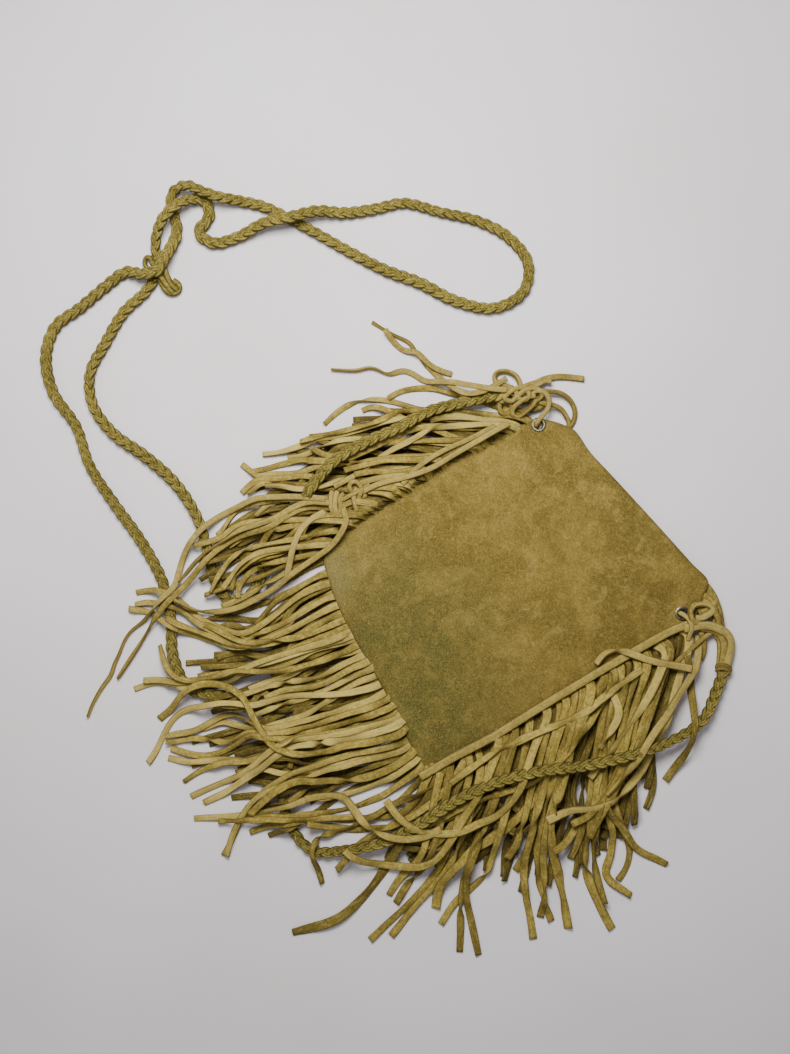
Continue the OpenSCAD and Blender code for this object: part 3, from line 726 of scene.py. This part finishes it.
def to_edge(p, edge):
    """Takes a strip's first point back to its seam and 5 mm in under the panel."""
    d = arc(edge)
    fine = np.stack([np.interp(np.linspace(0, d[-1], 300), d, edge[:, k]) for k in range(2)], 1)
    gap = np.linalg.norm(fine - p[0], axis=1)
    i = int(np.argmin(gap))
    if gap[i] > 12:
        # the seam point that the strip's own direction leads back to
        away = (p[0] - p[1]) / np.linalg.norm(p[0] - p[1])
        score = gap - 0.9 * ((fine - p[0]) @ away)
        i = int(np.argmin(score))
    q = fine[i]
    inward = np.array([505.0, 583.0]) - q
    inward /= np.linalg.norm(inward)
    if gap[i] > 5:
        return np.vstack([q + inward * 8, q, p])
    return np.vstack([p[0] + inward * 8, p])


def roll_of(n, total, calm=1.0, flips=0.2):
    s = np.linspace(0, total, n)
    a = rng.uniform(0.15, 0.95) * calm
    r = a * np.sin(2 * math.pi * s / rng.uniform(38, 85) + rng.uniform(0, 6.28))
    r += rng.uniform(-0.12, 0.12)
    if rng.random() < flips and total > 60:
        at, run = rng.uniform(0.3, 0.8) * total, rng.uniform(16, 30)
        r = r + math.pi * smooth((s - at) / run) * rng.choice([-1, 1])
    r *= smooth(s / 14)
    return r


def strip(bin_, p, w, tone, root=None, slope=0.8, zg=3.0, t=1.3, flips=0.45, calm=1.0, rise=0.0, run=9.0, sides=10, step=2.0, wear=None, spread=0.3):
    xy = soften(spline(row(p), 1.0), 3.2)
    xy = near(xy, np.full(len(xy), zg))
    n = len(xy)
    total = length(xy)
    roll = roll_of(n, total, calm, flips)
    wide = w * (1 + (spread * np.exp(-(arc(xy) / 26) ** 2) if root is not None else 0 * xy[:, 0]))
    if root is not None:
        root = root + rng.uniform(-0.4, 0.3)
    z = lay(xy, wide, t, roll, slope, root, run, rise=rise)
    drop(xy, z, wide, t, roll)
    line = np.column_stack([xy, z])
    k = max(3, int(round(total / step)) + 1)
    at = np.linspace(0, n - 1, k)
    ln = np.stack([np.interp(at, np.arange(n), line[:, j]) for j in range(3)], 1)
    rl = np.interp(at, np.arange(n), roll)
    vary = 1 + 0.07 * np.sin(np.linspace(0, total / 9, k) + rng.uniform(0, 6)) + rng.normal(0, 0.015, k)
    bin_.sweep(ln, np.interp(at, np.arange(n), wide) / 2 * vary, t / 2 * 1.05, rl, sides=sides, power=0.5, tone=tone + rng.normal(0, 0.24), wear=wear)
    return ln


bins = {"left": Bin(), "bottom": Bin(), "right": Bin()}
WIDE = {"left": 0.92, "bottom": 0.97, "right": 1.14}
# darker tone by region: partly the strips' own darker colour, partly painted shade, strongest on the right fringe
REGION_SHADE_AND_TONE = {"left": -0.12, "bottom": -0.10, "right": -0.55}
# layer offsets: the lower layers are darker and the top layer lighter, as painted shade under the visible strips and
# painted light on them
UNDER_SHADE = {"left": 0.30, "bottom": 0.50, "right": 0.45}
OVER_LIGHT = {"left": 0.06, "bottom": 0.10, "right": 0.30}
CALM = {"left": 1.0, "bottom": 1.0, "right": 1.1}
SPREAD = {"left": 0.30, "bottom": 0.30, "right": 0.12}
half = len(FILL)
edges = {"left": LEFT_EDGE, "bottom": BOTTOM_EDGE, "right": RIGHT_EDGE}
counts = [20, 20, 24, 24, 30, 26]
which = ["left", "left", "bottom", "bottom", "right", "right"]
i = 0
for n_row, (c, name) in enumerate(zip(counts, which)):
    for _ in range(c):
        p, tone = FILL[i]
        strip(bins[name], p, rng.uniform(4.0, 4.7) * WIDE[name], tone + REGION_SHADE_AND_TONE[name] - UNDER_SHADE[name] + rng.normal(0, 0.3), root=[2.6, 3.7][n_row % 2], zg=2.0, flips=0.25, calm=0.8, spread=SPREAD[name])
        i += 1
for name, block in (("left", LEFT), ("bottom", BOTTOM), ("right", RIGHT)):
    for w, tone, p in parse(block):
        strip(bins[name], to_edge(p, edges[name]), w * WIDE[name], 1.2 * tone + REGION_SHADE_AND_TONE[name] + OVER_LIGHT[name], root=5.2, zg=5.0, calm=CALM[name], spread=SPREAD[name])

# the strap on top of the fringe
z_cad = strap[:, 2].copy()
sxy = near(strap[:, :2], z_cad)
e = pile.at(sxy)
tt = unit(np.gradient(sxy, axis=0))
sd = np.stack([-tt[:, 1], tt[:, 0]], 1)
for o in (-3, -1.5, 1.5, 3):
    e = np.maximum(e, pile.at(sxy + sd * o) - 0.7)
want = np.where(over_fringe, np.maximum(z_cad, e + 4.3), z_cad)
for q in range(4):
    want = np.where(over_fringe, np.maximum(blur(want, 6), np.where(over_fringe, e + 4.2, 0)), z_cad)
want = blur(want, 3)
print("strap highest", want.max(), "pile under it", e[over_fringe].max())
strap_line = np.column_stack([near(strap[:, :2], want), want])
drop_round(strap_line[over_fringe][:, :2], strap_line[over_fringe][:, 2], 4.4)


def plait(line, period=21.5, a=2.0, b=1.15, hw=1.16, ht=1.42, step=1.1, tone=0.0):
    out = Bin()
    n = max(4, int(length(line) / step))
    at = np.linspace(0, len(line) - 1, n)
    ln = np.stack([np.interp(at, np.arange(len(line)), line[:, k]) for k in range(3)], 1)
    t, s, u = sides_of(ln)
    d = arc(ln)
    wob = 1 + 0.05 * np.sin(d / 47) + 0.04 * np.sin(d / 19 + 1)
    for k in range(3):
        ph = 2 * math.pi * d / period + 2 * math.pi * k / 3 + 0.35 * np.sin(d / 61)
        strand = ln + s * (a * wob * np.sin(ph))[:, None] + u * (b * np.sin(2 * ph))[:, None]
        _, ss, _ = sides_of(strand)
        for e, (off, up_) in enumerate(((-0.78, 0.06), (0.78, -0.06))):
            out.sweep(strand + ss * (off * wob)[:, None] + u * up_, hw * wob, ht, roll=0.25 * np.cos(ph), sides=8,
                      power=0.85, tone=[0.14, -0.12, 0.0][k] + [0.10, -0.10][e] + tone)
    return out


braid = plait(strap_line).make("strap_plait", BRAID)

for w, tone, p in parse(TOP):
    name = "bottom" if p[0][0] < 430 and p[0][1] < 760 else "right"
    rooted = tone != 0.8 and tone != -0.5 and tone != 0.7
    strip(bins[name], to_edge(p, edges[name]) if rooted else p, w * WIDE[name], 0.8 * tone - 0.05, root=5.2 if rooted else None, zg=9.0, slope=0.6)

for name, b in bins.items():
    o = b.make(name + "_fringe", FRINGE)
    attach(o, "pouch")
    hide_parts(name + "_fringe_upper", name + "_fringe_lower")

# --------------------------------------------------------------- the panels
panel_t, seam_z, crown = 1.5, 4.95, 5.5
OUTLINE = np.array([[75, -112], [79, -104], [80, -88], [83, -60], [86, -33], [88, -8],
           [87, 20], [87, 40], [88, 60], [89, 78], [89, 90], [86, 99],
           [80, 106], [72, 116], [56, 113], [36, 109.5], [16, 106], [-4, 102.5],
           [-24, 99], [-44, 95.5], [-61, 95], [-70, 90], [-77, 84], [-82, 77],
           [-85, 66], [-87, 48], [-90, 26], [-91, 4], [-92, -20], [-92, -44],
           [-91, -66], [-88, -82], [-82, -93], [-72, -98], [-52, -103],
           [-28, -106], [-2, -107], [25, -109], [50, -112], [66, -114]])
MID = np.array([0.0, -5.0])
EYE_L, EYE_R = np.array([-78.5, 76.0]), np.array([81.0, 89.5])


def ring_round(p, per):
    """The closed outline as a smooth ring of points, with the source index of each."""
    n = len(p)
    out, idx = [], []
    for i in range(n):
        a, b, c, d = p[i - 1], p[i], p[(i + 1) % n], p[(i + 2) % n]
        for k in range(per):
            t = k / per
            out.append(0.5 * ((2 * b) + (c - a) * t + (2 * a - 5 * b + 4 * c - d) * t * t + (3 * b - a - 3 * c + d) * t ** 3))
            idx.append(i + t)
    return np.array(out), np.array(idx)


RING, RIDX = ring_round(OUTLINE, 8)
mouth = (RIDX >= 13.0) & (RIDX <= 20.0)
EDGE_FULL = np.where(mouth, 0.52 * np.maximum(0, 1 - ((RING[:, 0] - 6) / 66) ** 2), 0.0)


def flat_near_eyes(p):
    return smooth((np.linalg.norm(p - EYE_L, axis=-1) - 9) / 20) * smooth((np.linalg.norm(p - EYE_R, axis=-1) - 9) / 20)


def value_noise(p, size, seed):
    """Smooth noise from -1 to 1 at points p, with features of that size."""
    g = np.random.default_rng(seed).uniform(-1, 1, (64, 64))
    q = p / size + 20
    i = np.floor(q).astype(int)
    f = smooth(q - i)
    a, b = g[i[..., 0] % 64, i[..., 1] % 64], g[(i[..., 0] + 1) % 64, i[..., 1] % 64]
    c, d = g[i[..., 0] % 64, (i[..., 1] + 1) % 64], g[(i[..., 0] + 1) % 64, (i[..., 1] + 1) % 64]
    return (a * (1 - f[..., 0]) + b * f[..., 0]) * (1 - f[..., 1]) + (c * (1 - f[..., 0]) + d * f[..., 0]) * f[..., 1]


def make_panel(name, front, mat):
    rs = np.concatenate([1 - np.array([0, 0.0015, 0.004, 0.0075, 0.0125, 0.020, 0.030, 0.042]), np.linspace(0.94, 0.03, 54)])
    n = len(RING)
    tops, bots, edge = [], [], []
    for r in rs:
        xy = MID + (RING - MID) * r
        f = (EDGE_FULL + (1 - EDGE_FULL) * (1 - r ** 2.6)) * flat_near_eyes(xy)
        inset = (1 - r) * np.linalg.norm(RING - MID, axis=1)
        mid = seam_z + panel_t / 2 + crown * f if front else np.maximum(panel_t / 2, seam_z - panel_t / 2 - 6.2 * f)
        ht = panel_t / 2 * np.sqrt(np.clip(1 - (1 - np.clip(inset / 1.3, 0, 1)) ** 2, 0.02, 1))
        if front:
            calm = flat_near_eyes(xy) * smooth((inset - 1) / 14)
            soft = 0.55 * value_noise(xy, 46, 3) + 0.28 * value_noise(xy, 21, 4) + 0.10 * value_noise(xy, 9, 5)
            # small puckers where the seam draws the edge in
            along = np.cumsum(np.linalg.norm(RING - np.roll(RING, 1, axis=0), axis=1))
            puck = 0.22 * value_noise(np.stack([along, along * 0], 1), 7.5, 9) * (1 - mouth) * np.exp(-((inset - 3.5) / 4.0) ** 2)
            mid = mid + calm * soft + puck * flat_near_eyes(xy)
        tops.append(np.column_stack([xy, mid + ht]))
        bots.append(np.column_stack([xy, np.maximum(mid - ht, 0.0)]))
        # edge: near 1 at the rim, the mask of the painted shade along the panel's rounded edge
        edge.append(np.exp(-(inset / 1.6) ** 2))
    m = len(rs)
    centre_f = 1.0
    cz = seam_z + panel_t / 2 + crown * centre_f if front else max(panel_t / 2, seam_z - panel_t / 2 - 6.2 * centre_f)
    soft0 = 0.55 * value_noise(MID[None], 46, 3)[0] + 0.28 * value_noise(MID[None], 21, 4)[0] + 0.10 * value_noise(MID[None], 9, 5)[0] if front else 0
    v = np.vstack(tops + [np.append(MID, cz + soft0 + panel_t / 2)[None]] + bots + [np.append(MID, max(0, cz + soft0 - panel_t / 2))[None]])
    half_n = m * n + 1
    faces = []
    for k in range(m - 1):
        for i in range(n):
            j = (i + 1) % n
            a, b, c, d = k * n + i, (k + 1) * n + i, (k + 1) * n + j, k * n + j
            faces.append([a, d, c, b])
            faces.append([half_n + a, half_n + b, half_n + c, half_n + d])
    for i in range(n):
        j = (i + 1) % n
        faces.append([(m - 1) * n + i, (m - 1) * n + j, m * n])
        faces.append([half_n + (m - 1) * n + j, half_n + (m - 1) * n + i, half_n + m * n])
        faces.append([i, half_n + i, half_n + j, j])
    me = bpy.data.meshes.new(name)
    me.from_pydata((v / 1000).tolist(), [], faces)
    e = np.concatenate(edge + [[0.0]])
    at = me.attributes.new("edge", "FLOAT", "POINT")
    at.data.foreach_set("value", np.concatenate([e, e]).astype(np.float32))
    me.update()
    o = bpy.data.objects.new(name, me)
    scene.collection.objects.link(o)
    # round holes for the two eyelets
    cut = bpy.data.meshes.new("cut")
    bm = bmesh.new()
    for c in (EYE_L, EYE_R):
        bmesh.ops.create_cone(bm, cap_ends=True, segments=40, radius1=0.0036, radius2=0.0036, depth=0.03,
                              matrix=Matrix.Translation((c[0] / 1000, c[1] / 1000, 0.006)))
    bm.to_mesh(cut)
    bm.free()
    co = bpy.data.objects.new("cut", cut)
    scene.collection.objects.link(co)
    mod = o.modifiers.new("holes", "BOOLEAN")
    mod.object, mod.operation, mod.solver = co, "DIFFERENCE", "EXACT"
    dg = bpy.context.evaluated_depsgraph_get()
    new = bpy.data.meshes.new_from_object(o.evaluated_get(dg), depsgraph=dg)
    o.modifiers.clear()
    o.data = new
    bpy.data.objects.remove(co)
    new.name = name
    bm = bmesh.new()
    bm.from_mesh(new)
    bmesh.ops.recalc_face_normals(bm, faces=bm.faces)
    bm.to_mesh(new)
    bm.free()
    new.materials.clear()
    new.materials.append(mat)
    new.polygons.foreach_set("use_smooth", np.ones(len(new.polygons), bool))
    pos = np.zeros(len(new.vertices) * 3, np.float32)
    new.vertices.foreach_get("co", pos)
    at = new.attributes.new("rest", "FLOAT_VECTOR", "POINT")
    at.data.foreach_set("vector", pos)
    return o


front = make_panel("front_suede", True, FRONT)
back = make_panel("back_suede", False, BACK)
for k in np.linspace(0, 1, 200):
    xy = MID + (RING - MID) * k
    f = (EDGE_FULL + (1 - EDGE_FULL) * (1 - k ** 2.6)) * flat_near_eyes(xy)
    pile.put(xy, seam_z + panel_t + crown * f + 0.3)

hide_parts("front_panel", "front_mouth_lip")
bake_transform(front)
co = np.zeros(len(front.data.vertices) * 3, np.float32)
front.data.vertices.foreach_get("co", co)
co = co.reshape(-1, 3).astype(float) * 1000
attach(back, "pouch")
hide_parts("back_panel")


# ------------------------------------------------------------ laces, cords
def lace(name, route, node=None, w=3.6, t=2.6, tone=0.0, slope=0.6, rise=0.0, fixed=False,
         exit_at=None, root=None, calm=0.6, flips=0.0, zg=None, sides=12, power=0.65, stiff=2.2):
    """One lace. A route has plan cells, and heights where it is fixed."""
    r = np.array(route, float)
    if r.shape[1] == 3:
        line = spline(np.column_stack([row(r), r[:, 2]]), 1.0)
    else:
        line = spline(np.column_stack([row(r), np.zeros(len(r))]), 1.0)
    if not fixed:
        line = soften(line, 2.6)
    xy = near(line[:, :2], line[:, 2] if zg is None else np.full(len(line), zg))
    roll = roll_of(len(xy), length(xy), calm, flips) * 0.6
    if fixed:
        z = line[:, 2]
    else:
        z = lay(xy, w, t, roll, slope, root, rise=rise, stiff=stiff)
    drop(xy, z, w, t, roll)
    ln = np.column_stack([xy, z])
    total = length(ln)
    k = max(8, int(round(total / 1.4)) + 1)
    at = np.linspace(0, len(ln) - 1, k)
    out = np.stack([np.interp(at, np.arange(len(ln)), ln[:, j]) for j in range(3)], 1)
    rl = np.interp(at, np.arange(len(ln)), roll)
    b = Bin()
    b.sweep(out, w / 2, t / 2, rl, sides=sides, power=power, tone=tone, free=fixed)
    o = b.make(name, LACE)
    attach(o, "pouch")
    if node:
        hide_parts(*([node] if isinstance(node, str) else node))
    return o


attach(braid, "pouch")
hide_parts("strap_braid")

TS = """
4.2 0.5 / 326,499 300,497 279,497 255,499 234,508 215,518 200,530 188,545 180,560 176,575 174,586 160,600 150,612 140,623 128,632 121,642 116,655 110,668 108,676 98,690 88,708 84,719
4.2 0.2 / 322,507 305,508 288,516 268,528 250,533 235,538 220,548 205,562 192,577 180,590 165,605 153,620 145,632 135,648 125,663 118,674 114,680
4.2 0.5 / 330,503 310,502 295,507 278,517 262,523 240,530 225,540 205,553 195,563 186,573 178,582
4.4 0.9 / 325,512 312,519 300,532 294,546 290,561 286,578
4.2 0.4 / 343,508 347,519 342,532 330,547 312,560 293,573 276,587 258,598 240,607 218,612 198,612 185,606 175,600
"""
first = True
for i, (w, tone, p) in enumerate(parse(TS)):
    lace("tassel_strand_%d" % (i + 1), p, node="tassel_strands" if first else None, w=w, t=1.9, tone=tone, zg=12.0, slope=0.5, flips=0.5, power=0.75)
    first = False

lace("seam_lace_a", pts("494,427 470,439 440,453 415,470 402,485"), node="left_laces", tone=0.3, zg=9)
lace("seam_lace_b", pts("508,424 480,440 455,454 430,469 405,478 380,484 362,492"), tone=0.5, zg=10, w=4.0)
lace("left_tail_a", pts("506,379 485,392 470,396 462,395 452,388 440,378 428,366 418,355 410,343 398,337 385,330 372,322"), node="left_tails", tone=0.3, zg=3, t=1.8, w=4.0, flips=1.0)
lace("right_tail_b", pts("700,636 699,650 695,664 688,678 680,690 664,713 648,735 634,755 618,776 604,792"), tone=0.5, zg=8, w=5.2, t=2.1, stiff=5.0, flips=1.0)
lace("left_tail_b", pts("505,392 490,391 472,388 455,384 438,382 425,381 414,374 404,370 396,372 388,375 378,369 368,367 358,370 345,370 331,369"), tone=0.4, zg=3, t=1.8, w=4.0, flips=1.0)
lace("left_tail_c", pts("452,374 436,369 426,362 416,352 405,351 395,343 385,330"), tone=0.2, zg=3, t=1.8, w=4.0)
lace("edge_lace_right", pts("690,624 678,628 665,634 640,648 600,671 560,695 520,719 480,742 450,758 420,775"), node="right_edge_lace", tone=0.4, zg=9, w=5.8, t=2.5, calm=0.05, stiff=9.0, rise=0.3)
lace("right_tail_a", pts("690,668 676,665 660,662 647,659 635,655 620,650 605,653 596,664"), node="right_tails", tone=0.6, zg=10, w=5.2, t=2.1, flips=1.0, stiff=4.0)


# ------------------------------------------------------------------- knots
def base_at(u, v, r=6):
    """How high the pile is around one plan cell."""
    g = np.array([[u + a, v + b] for a in range(-r, r + 1, 2) for b in range(-r, r + 1, 2)], float)
    return float(np.percentile(pile.at(row(g)), 60))


def routes(block, base=0.0):
    out = []
    for line in block.strip().splitlines():
        head, body = line.split("/")
        w, t, tone = (float(x) for x in head.split())
        q = pts(body)
        q[:, 2] += base
        out.append((w, t, tone, q))
    return out


def knot(name, block, base, mat, nodes=()):
    b = Bin()
    for w, t, tone, q in routes(block, base):
        line = spline(np.column_stack([row(q), q[:, 2]]), 1.1)
        line = np.column_stack([near(line[:, :2], line[:, 2]), np.maximum(line[:, 2], t / 2)])
        b.sweep(line, w / 2, t / 2, 0.18 * np.sin(arc(line) / 7 + w), sides=12, power=0.9, tone=tone, free=True)
    o = b.make(name, mat)
    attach(o, "pouch")
    if nodes:
        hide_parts(*nodes)
    return o


knot("left_corner_knot", """
3.4 3.4 -0.7 / 526,393,6 540,391,7 550,391.5,7 560,393,6 568,398,4.6 573,405,3.2 575,413,2.2 573,422,1.8 564,433,1.7
3.4 3.4 -0.3 / 536,401,6 545,404,7 553,405,7 561,409,5.6 566,416,3.6 569,424,2 563,436,1.7
3.6 3.4 -0.6 / 508,404,4 518,410,4.4 531,410,5 543,405,5 541,397,5.4 529,401,6 516,401,5.6 507,396,5
3.6 3.0 -0.2 / 500,402,7 499.5,409,7 504,414,7 510,412,7 512,405,8 507,400,9 500,402,9
3.6 3.2 0.1 / 514,392,9 520,390,8 520,384,6 517,377,4.4 511,372.5,3.4 503,371,3 496.5,373,3.2 494.5,378,3.8 498,383.5,5 505,386,7 513,388,9
4.4 3.0 0.1 / 518,391,9 527,386,7 536,383,5 545,379,3 555,377,2 566,377,1.8 584,379,1.8
3.4 2.6 0.5 / 508,392,9 520,391,10 532,387.5,9 540,383.5,7.6 546,381,6.6 551,382,5.6
3.6 3.2 0.3 / 490,397,10 498,399,10 504,393,12 511,389,11.6 517,394,13 512,401,11 505,398,12 512,390.5,13.6 523,388,12 529,394,13 525,400,11 518,397,12.4 526,389.5,13.6 537,389,11.6 542,395,10.6 536,401,9
3.4 3.0 0.2 / 535,396,10.6 528,397,12 520,402,12.6 513.5,408,12 512.5,414,10.6 518,416.5,9.6 526,411.5,10 533,405,10.6 536,400,10
3.5 3.2 0.4 / 527,397,9 536,391,11.6 544,392,12 549,399,11.6 548.5,407,10.8 544,414,9.8 539.5,419,9.3 537,423,7.8 536.4,426,4.4 536.6,427,1.8
""", 0.0, LACE, ("left_knot", "left_anchor_loop"))

knot("right_corner_knot", """
6.0 2.6 -0.6 / 700,583,2 707,588,3 713,597,3.8 716.5,606,4.4 719,616,5 720,626,5.4 716,633,5
4.4 2.6 -0.1 / 698,602,4 703,595,4.6 708,598,5.2 713,605,6 716,614,6.4 714,624,6.4
4.2 2.6 -0.5 / 700,604,5.6 706,605,6 712,609,6.6 716,616,6.6
4.8 2.6 -0.4 / 697,608,5.4 703,609.5,6.0 709,611.5,6.4 716,616,6.0 719,624,5.2
4.4 2.6 -0.2 / 699,613,6.4 705,611,7.6 711,606.5,7.8 715,603,6.0 717,600,3.6
4.0 2.8 0.2 / 703,601,5.6 708,604,7.6 712.5,608.5,8.4 716,614,7.6 717.5,621,6.2
4.2 3.2 0.2 / 698,622,8 702,617,10 708,613.5,11 714,613,10 718,619,8.4 718,627,7
4.4 3.0 0.5 / 696,618,10 703,617.5,11.6 709,614,11.8 713,610,10.4 709,606,9 701,604.5,8.6 694,606,9.6 690.5,611,10.6
4.2 3.2 0.3 / 697,604,8 692,606,10.4 690.5,612,11.6 692,619,12 696,623,11 700,621,9.6
3.4 3.2 0.6 / 680,614,1.8 680.4,613.6,5 681,613.6,7.6 684.4,615.6,9.2 688,618.6,10.4 691,623,11.8 691.6,629,11 690,634,9 688,640,7
6.2 2.6 0.6 / 684,628.5,8 692,627,10.6 701,625.5,10.6 711,626,9.8 719,629,8.8 726,633,7.6 730.5,640,6.6 730.5,650,6.2 728,660,6.2 726,668,6.2
5.0 2.6 -0.2 / 700,628,8 710,629,8 718,633,7.4 723,640,6.6 724,650,6.2 722.5,660,6.2 722,668,6.2
4.0 2.6 0.1 / 706,630,6.6 714,633,6 719,640,5 720,650,4.6 719.4,660,4.6 719,667,5
3.0 2.4 0.2 / 717,668,5.6 718,664.6,8.4 724,664.4,10.6 729.6,667,8.6 729.6,671,5.4 724,672,3 718,671,4
3.0 2.4 0.1 / 717,671,5.6 719,668.4,8.8 724,668.4,10.8 729,671,8 728,674.6,5
3.4 2.2 0.1 / 716,630,6 706,636,7.6 698,643,8.6 690,650,9.4 682,657,9.8 674,664,9.6
4.4 2.2 -0.2 / 701,632,7 704,642,5.6 703,652,4.2 700,660,3
""", 0.0, LACE, ("right_knot", "right_anchor_loop"))

tb = base_at(340, 504)
print("tassel base", tb)
knot("tassel_wrap", """
5.0 3.6 -0.3 / 318,503,0.6 326,503,1.6 334,503,2.0 342,503,2.0 350,502,2.0 358,499,1.4 366,494,0.6
4.6 3.4 -0.5 / 318,508,0.0 328,508,1.0 338,508,1.0 348,507,1.0 356,504,0.6
3.6 3.0 0.6 / 332,492,0.0 331,496,2.2 330.6,500,3.8 330.6,505,4.2 332,510,3.4 334,515,0.6
3.6 3.0 0.8 / 337,492,0.0 336,495.6,2.4 335,500,4.2 335,505.5,4.5 336,511,3.4 338,515,0.6
3.4 3.0 0.3 / 343,494,0.4 340.6,497,2.8 339.6,502,4.2 340.4,507.6,3.8 339,513,3.4 334,516.4,3.2 328,515.4,2.4 323,511,1.2
3.6 3.2 0.5 / 357,489,0.6 354.4,493,3.0 353.6,499,4.4 355,505,4.2 356.6,511,2.4 357,516,0.2
3.4 3.0 0.1 / 362,490,0.6 359.6,495,2.8 358.6,501,3.6 358,507,3.2 354,513,2.4 350,517,0.6
3.2 2.8 0.3 / 352,492,1.6 349.4,487,2.4 351.4,482.6,2.6 356,481.6,2.8 360,485,3.0 361.6,490,3.4 360,496,3.4
3.2 2.6 0.4 / 338,500,3.0 344,499,4.2 350,495.6,5.0 356,492.6,4.2 362,489,2.2 370,485,1.0
3.2 2.6 0.0 / 340,507,2.2 346,505,3.6 352,503,4.0 358,504,2.6
""", tb, LACE, ("tassel_knot",))

knot("strap_knot_end", """
4.0 3.4 0.1 / 152,262,8 156,270,10 161,277,9 166,284,6.6 170,290,5 173.6,293,4.4
4.0 3.4 -0.2 / 158,260,9 164,268,10 167,276,8.6 171,283,6.4 175.6,288,5 178,290,4.4
3.8 3.2 0.2 / 154,270,5 160,280,5.6 164,288,4.6 169,292.6,4 175,293,3.8 179.4,289,3.8 178.6,284,4.4 173,280,6
3.2 2.8 -0.2 / 151,270,5.6 146.4,267,5.4 144.6,262,5.2 146.4,257.6,5.2 150.6,258,6.4 153,262,7.6
3.0 2.4 0.2 / 176,226,5.6 179.6,233,5.8 179.6,239,6 176,243,6.4 172,246,7
""", 0.0, BRAID, ())

# ------------------------------------------------------- eyelets and thread
for n in ("left_eyelet", "right_eyelet", "left_washer", "right_washer"):
    NODES[n].data.materials.clear()
    NODES[n].data.materials.append(METAL)

st = Bin()
STITCH_FROM = [[-84, 58], [-88, -60], [-68, -94], [66, -109], [84, -8]]
STITCH_TO = [[-88, -60], [-84, -82], [60, -107], [76, -92], [85, 68]]
for a, b in zip(STITCH_FROM, STITCH_TO):
    a, b = np.array(a, float), np.array(b, float)
    n = max(2, round(np.linalg.norm(b - a) / 12))
    d = (b - a) / np.linalg.norm(b - a)
    for i in range(n):
        c = a + (b - a) * (i + 0.5) / n
        t = np.linspace(-1, 1, 9)
        ln = np.column_stack([c[0] + d[0] * 1.7 * t, c[1] + d[1] * 1.7 * t, seam_z + 1.9 - 1.5 * t ** 4])
        st.sweep(ln, 0.4, 0.35, sides=8, power=1.0, tone=0.0)
stitches = st.make("seam_thread", THREAD)
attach(stitches, "pouch")
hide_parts("seam_stitches")

# --------------------------------------------------------- floor and lights
me = bpy.data.meshes.new("floor")
me.from_pydata([(-3, -3, 0), (3, -3, 0), (3, 3, 0), (-3, 3, 0)], [], [(0, 1, 2, 3)])
fl = bpy.data.objects.new("floor", me)
scene.collection.objects.link(fl)
fm = Nodes("pale_floor")
fn = fm.noise(fm.where(), 6, 3)
fm.link(fm.mix(fm.ramp(fn, 0.3, 0.7), srgb(226, 220, 220), srgb(231, 227, 228)), fm.bsdf.inputs["Base Color"])
fm.bsdf.inputs["Roughness"].default_value = 0.8
me.materials.append(fm.mat)


def area(name, at, aim, size, energy, color=(1, 1, 1)):
    d = bpy.data.lights.new(name, "AREA")
    d.shape, d.size, d.energy, d.color = "DISK", size, energy, color
    o = bpy.data.objects.new(name, d)
    scene.collection.objects.link(o)
    o.location = at
    o.rotation_mode = "QUATERNION"
    o.rotation_quaternion = (Vector(aim) - Vector(at)).to_track_quat("-Z", "Y")
    o.visible_camera = False
    return o


base = Vector((EYE[0] / 1000, EYE[1] / 1000, 0))
area("key", base + up * 0.28 - right * 0.06 + Vector((0, 0, 0.60)), base + up * 0.10, 0.30, 7.3, (1.0, 0.985, 0.96))
area("fill", base - right * 0.7 + up * 0.1 + Vector((0, 0, 0.9)), base + up * 0.1, 0.9, 1.0, (0.93, 0.96, 1.0))
world = bpy.data.worlds.new("studio")
scene.world = world
world.use_nodes = True
world.node_tree.nodes["Background"].inputs[0].default_value = (0.95, 0.95, 1.0, 1)
world.node_tree.nodes["Background"].inputs[1].default_value = 0.31
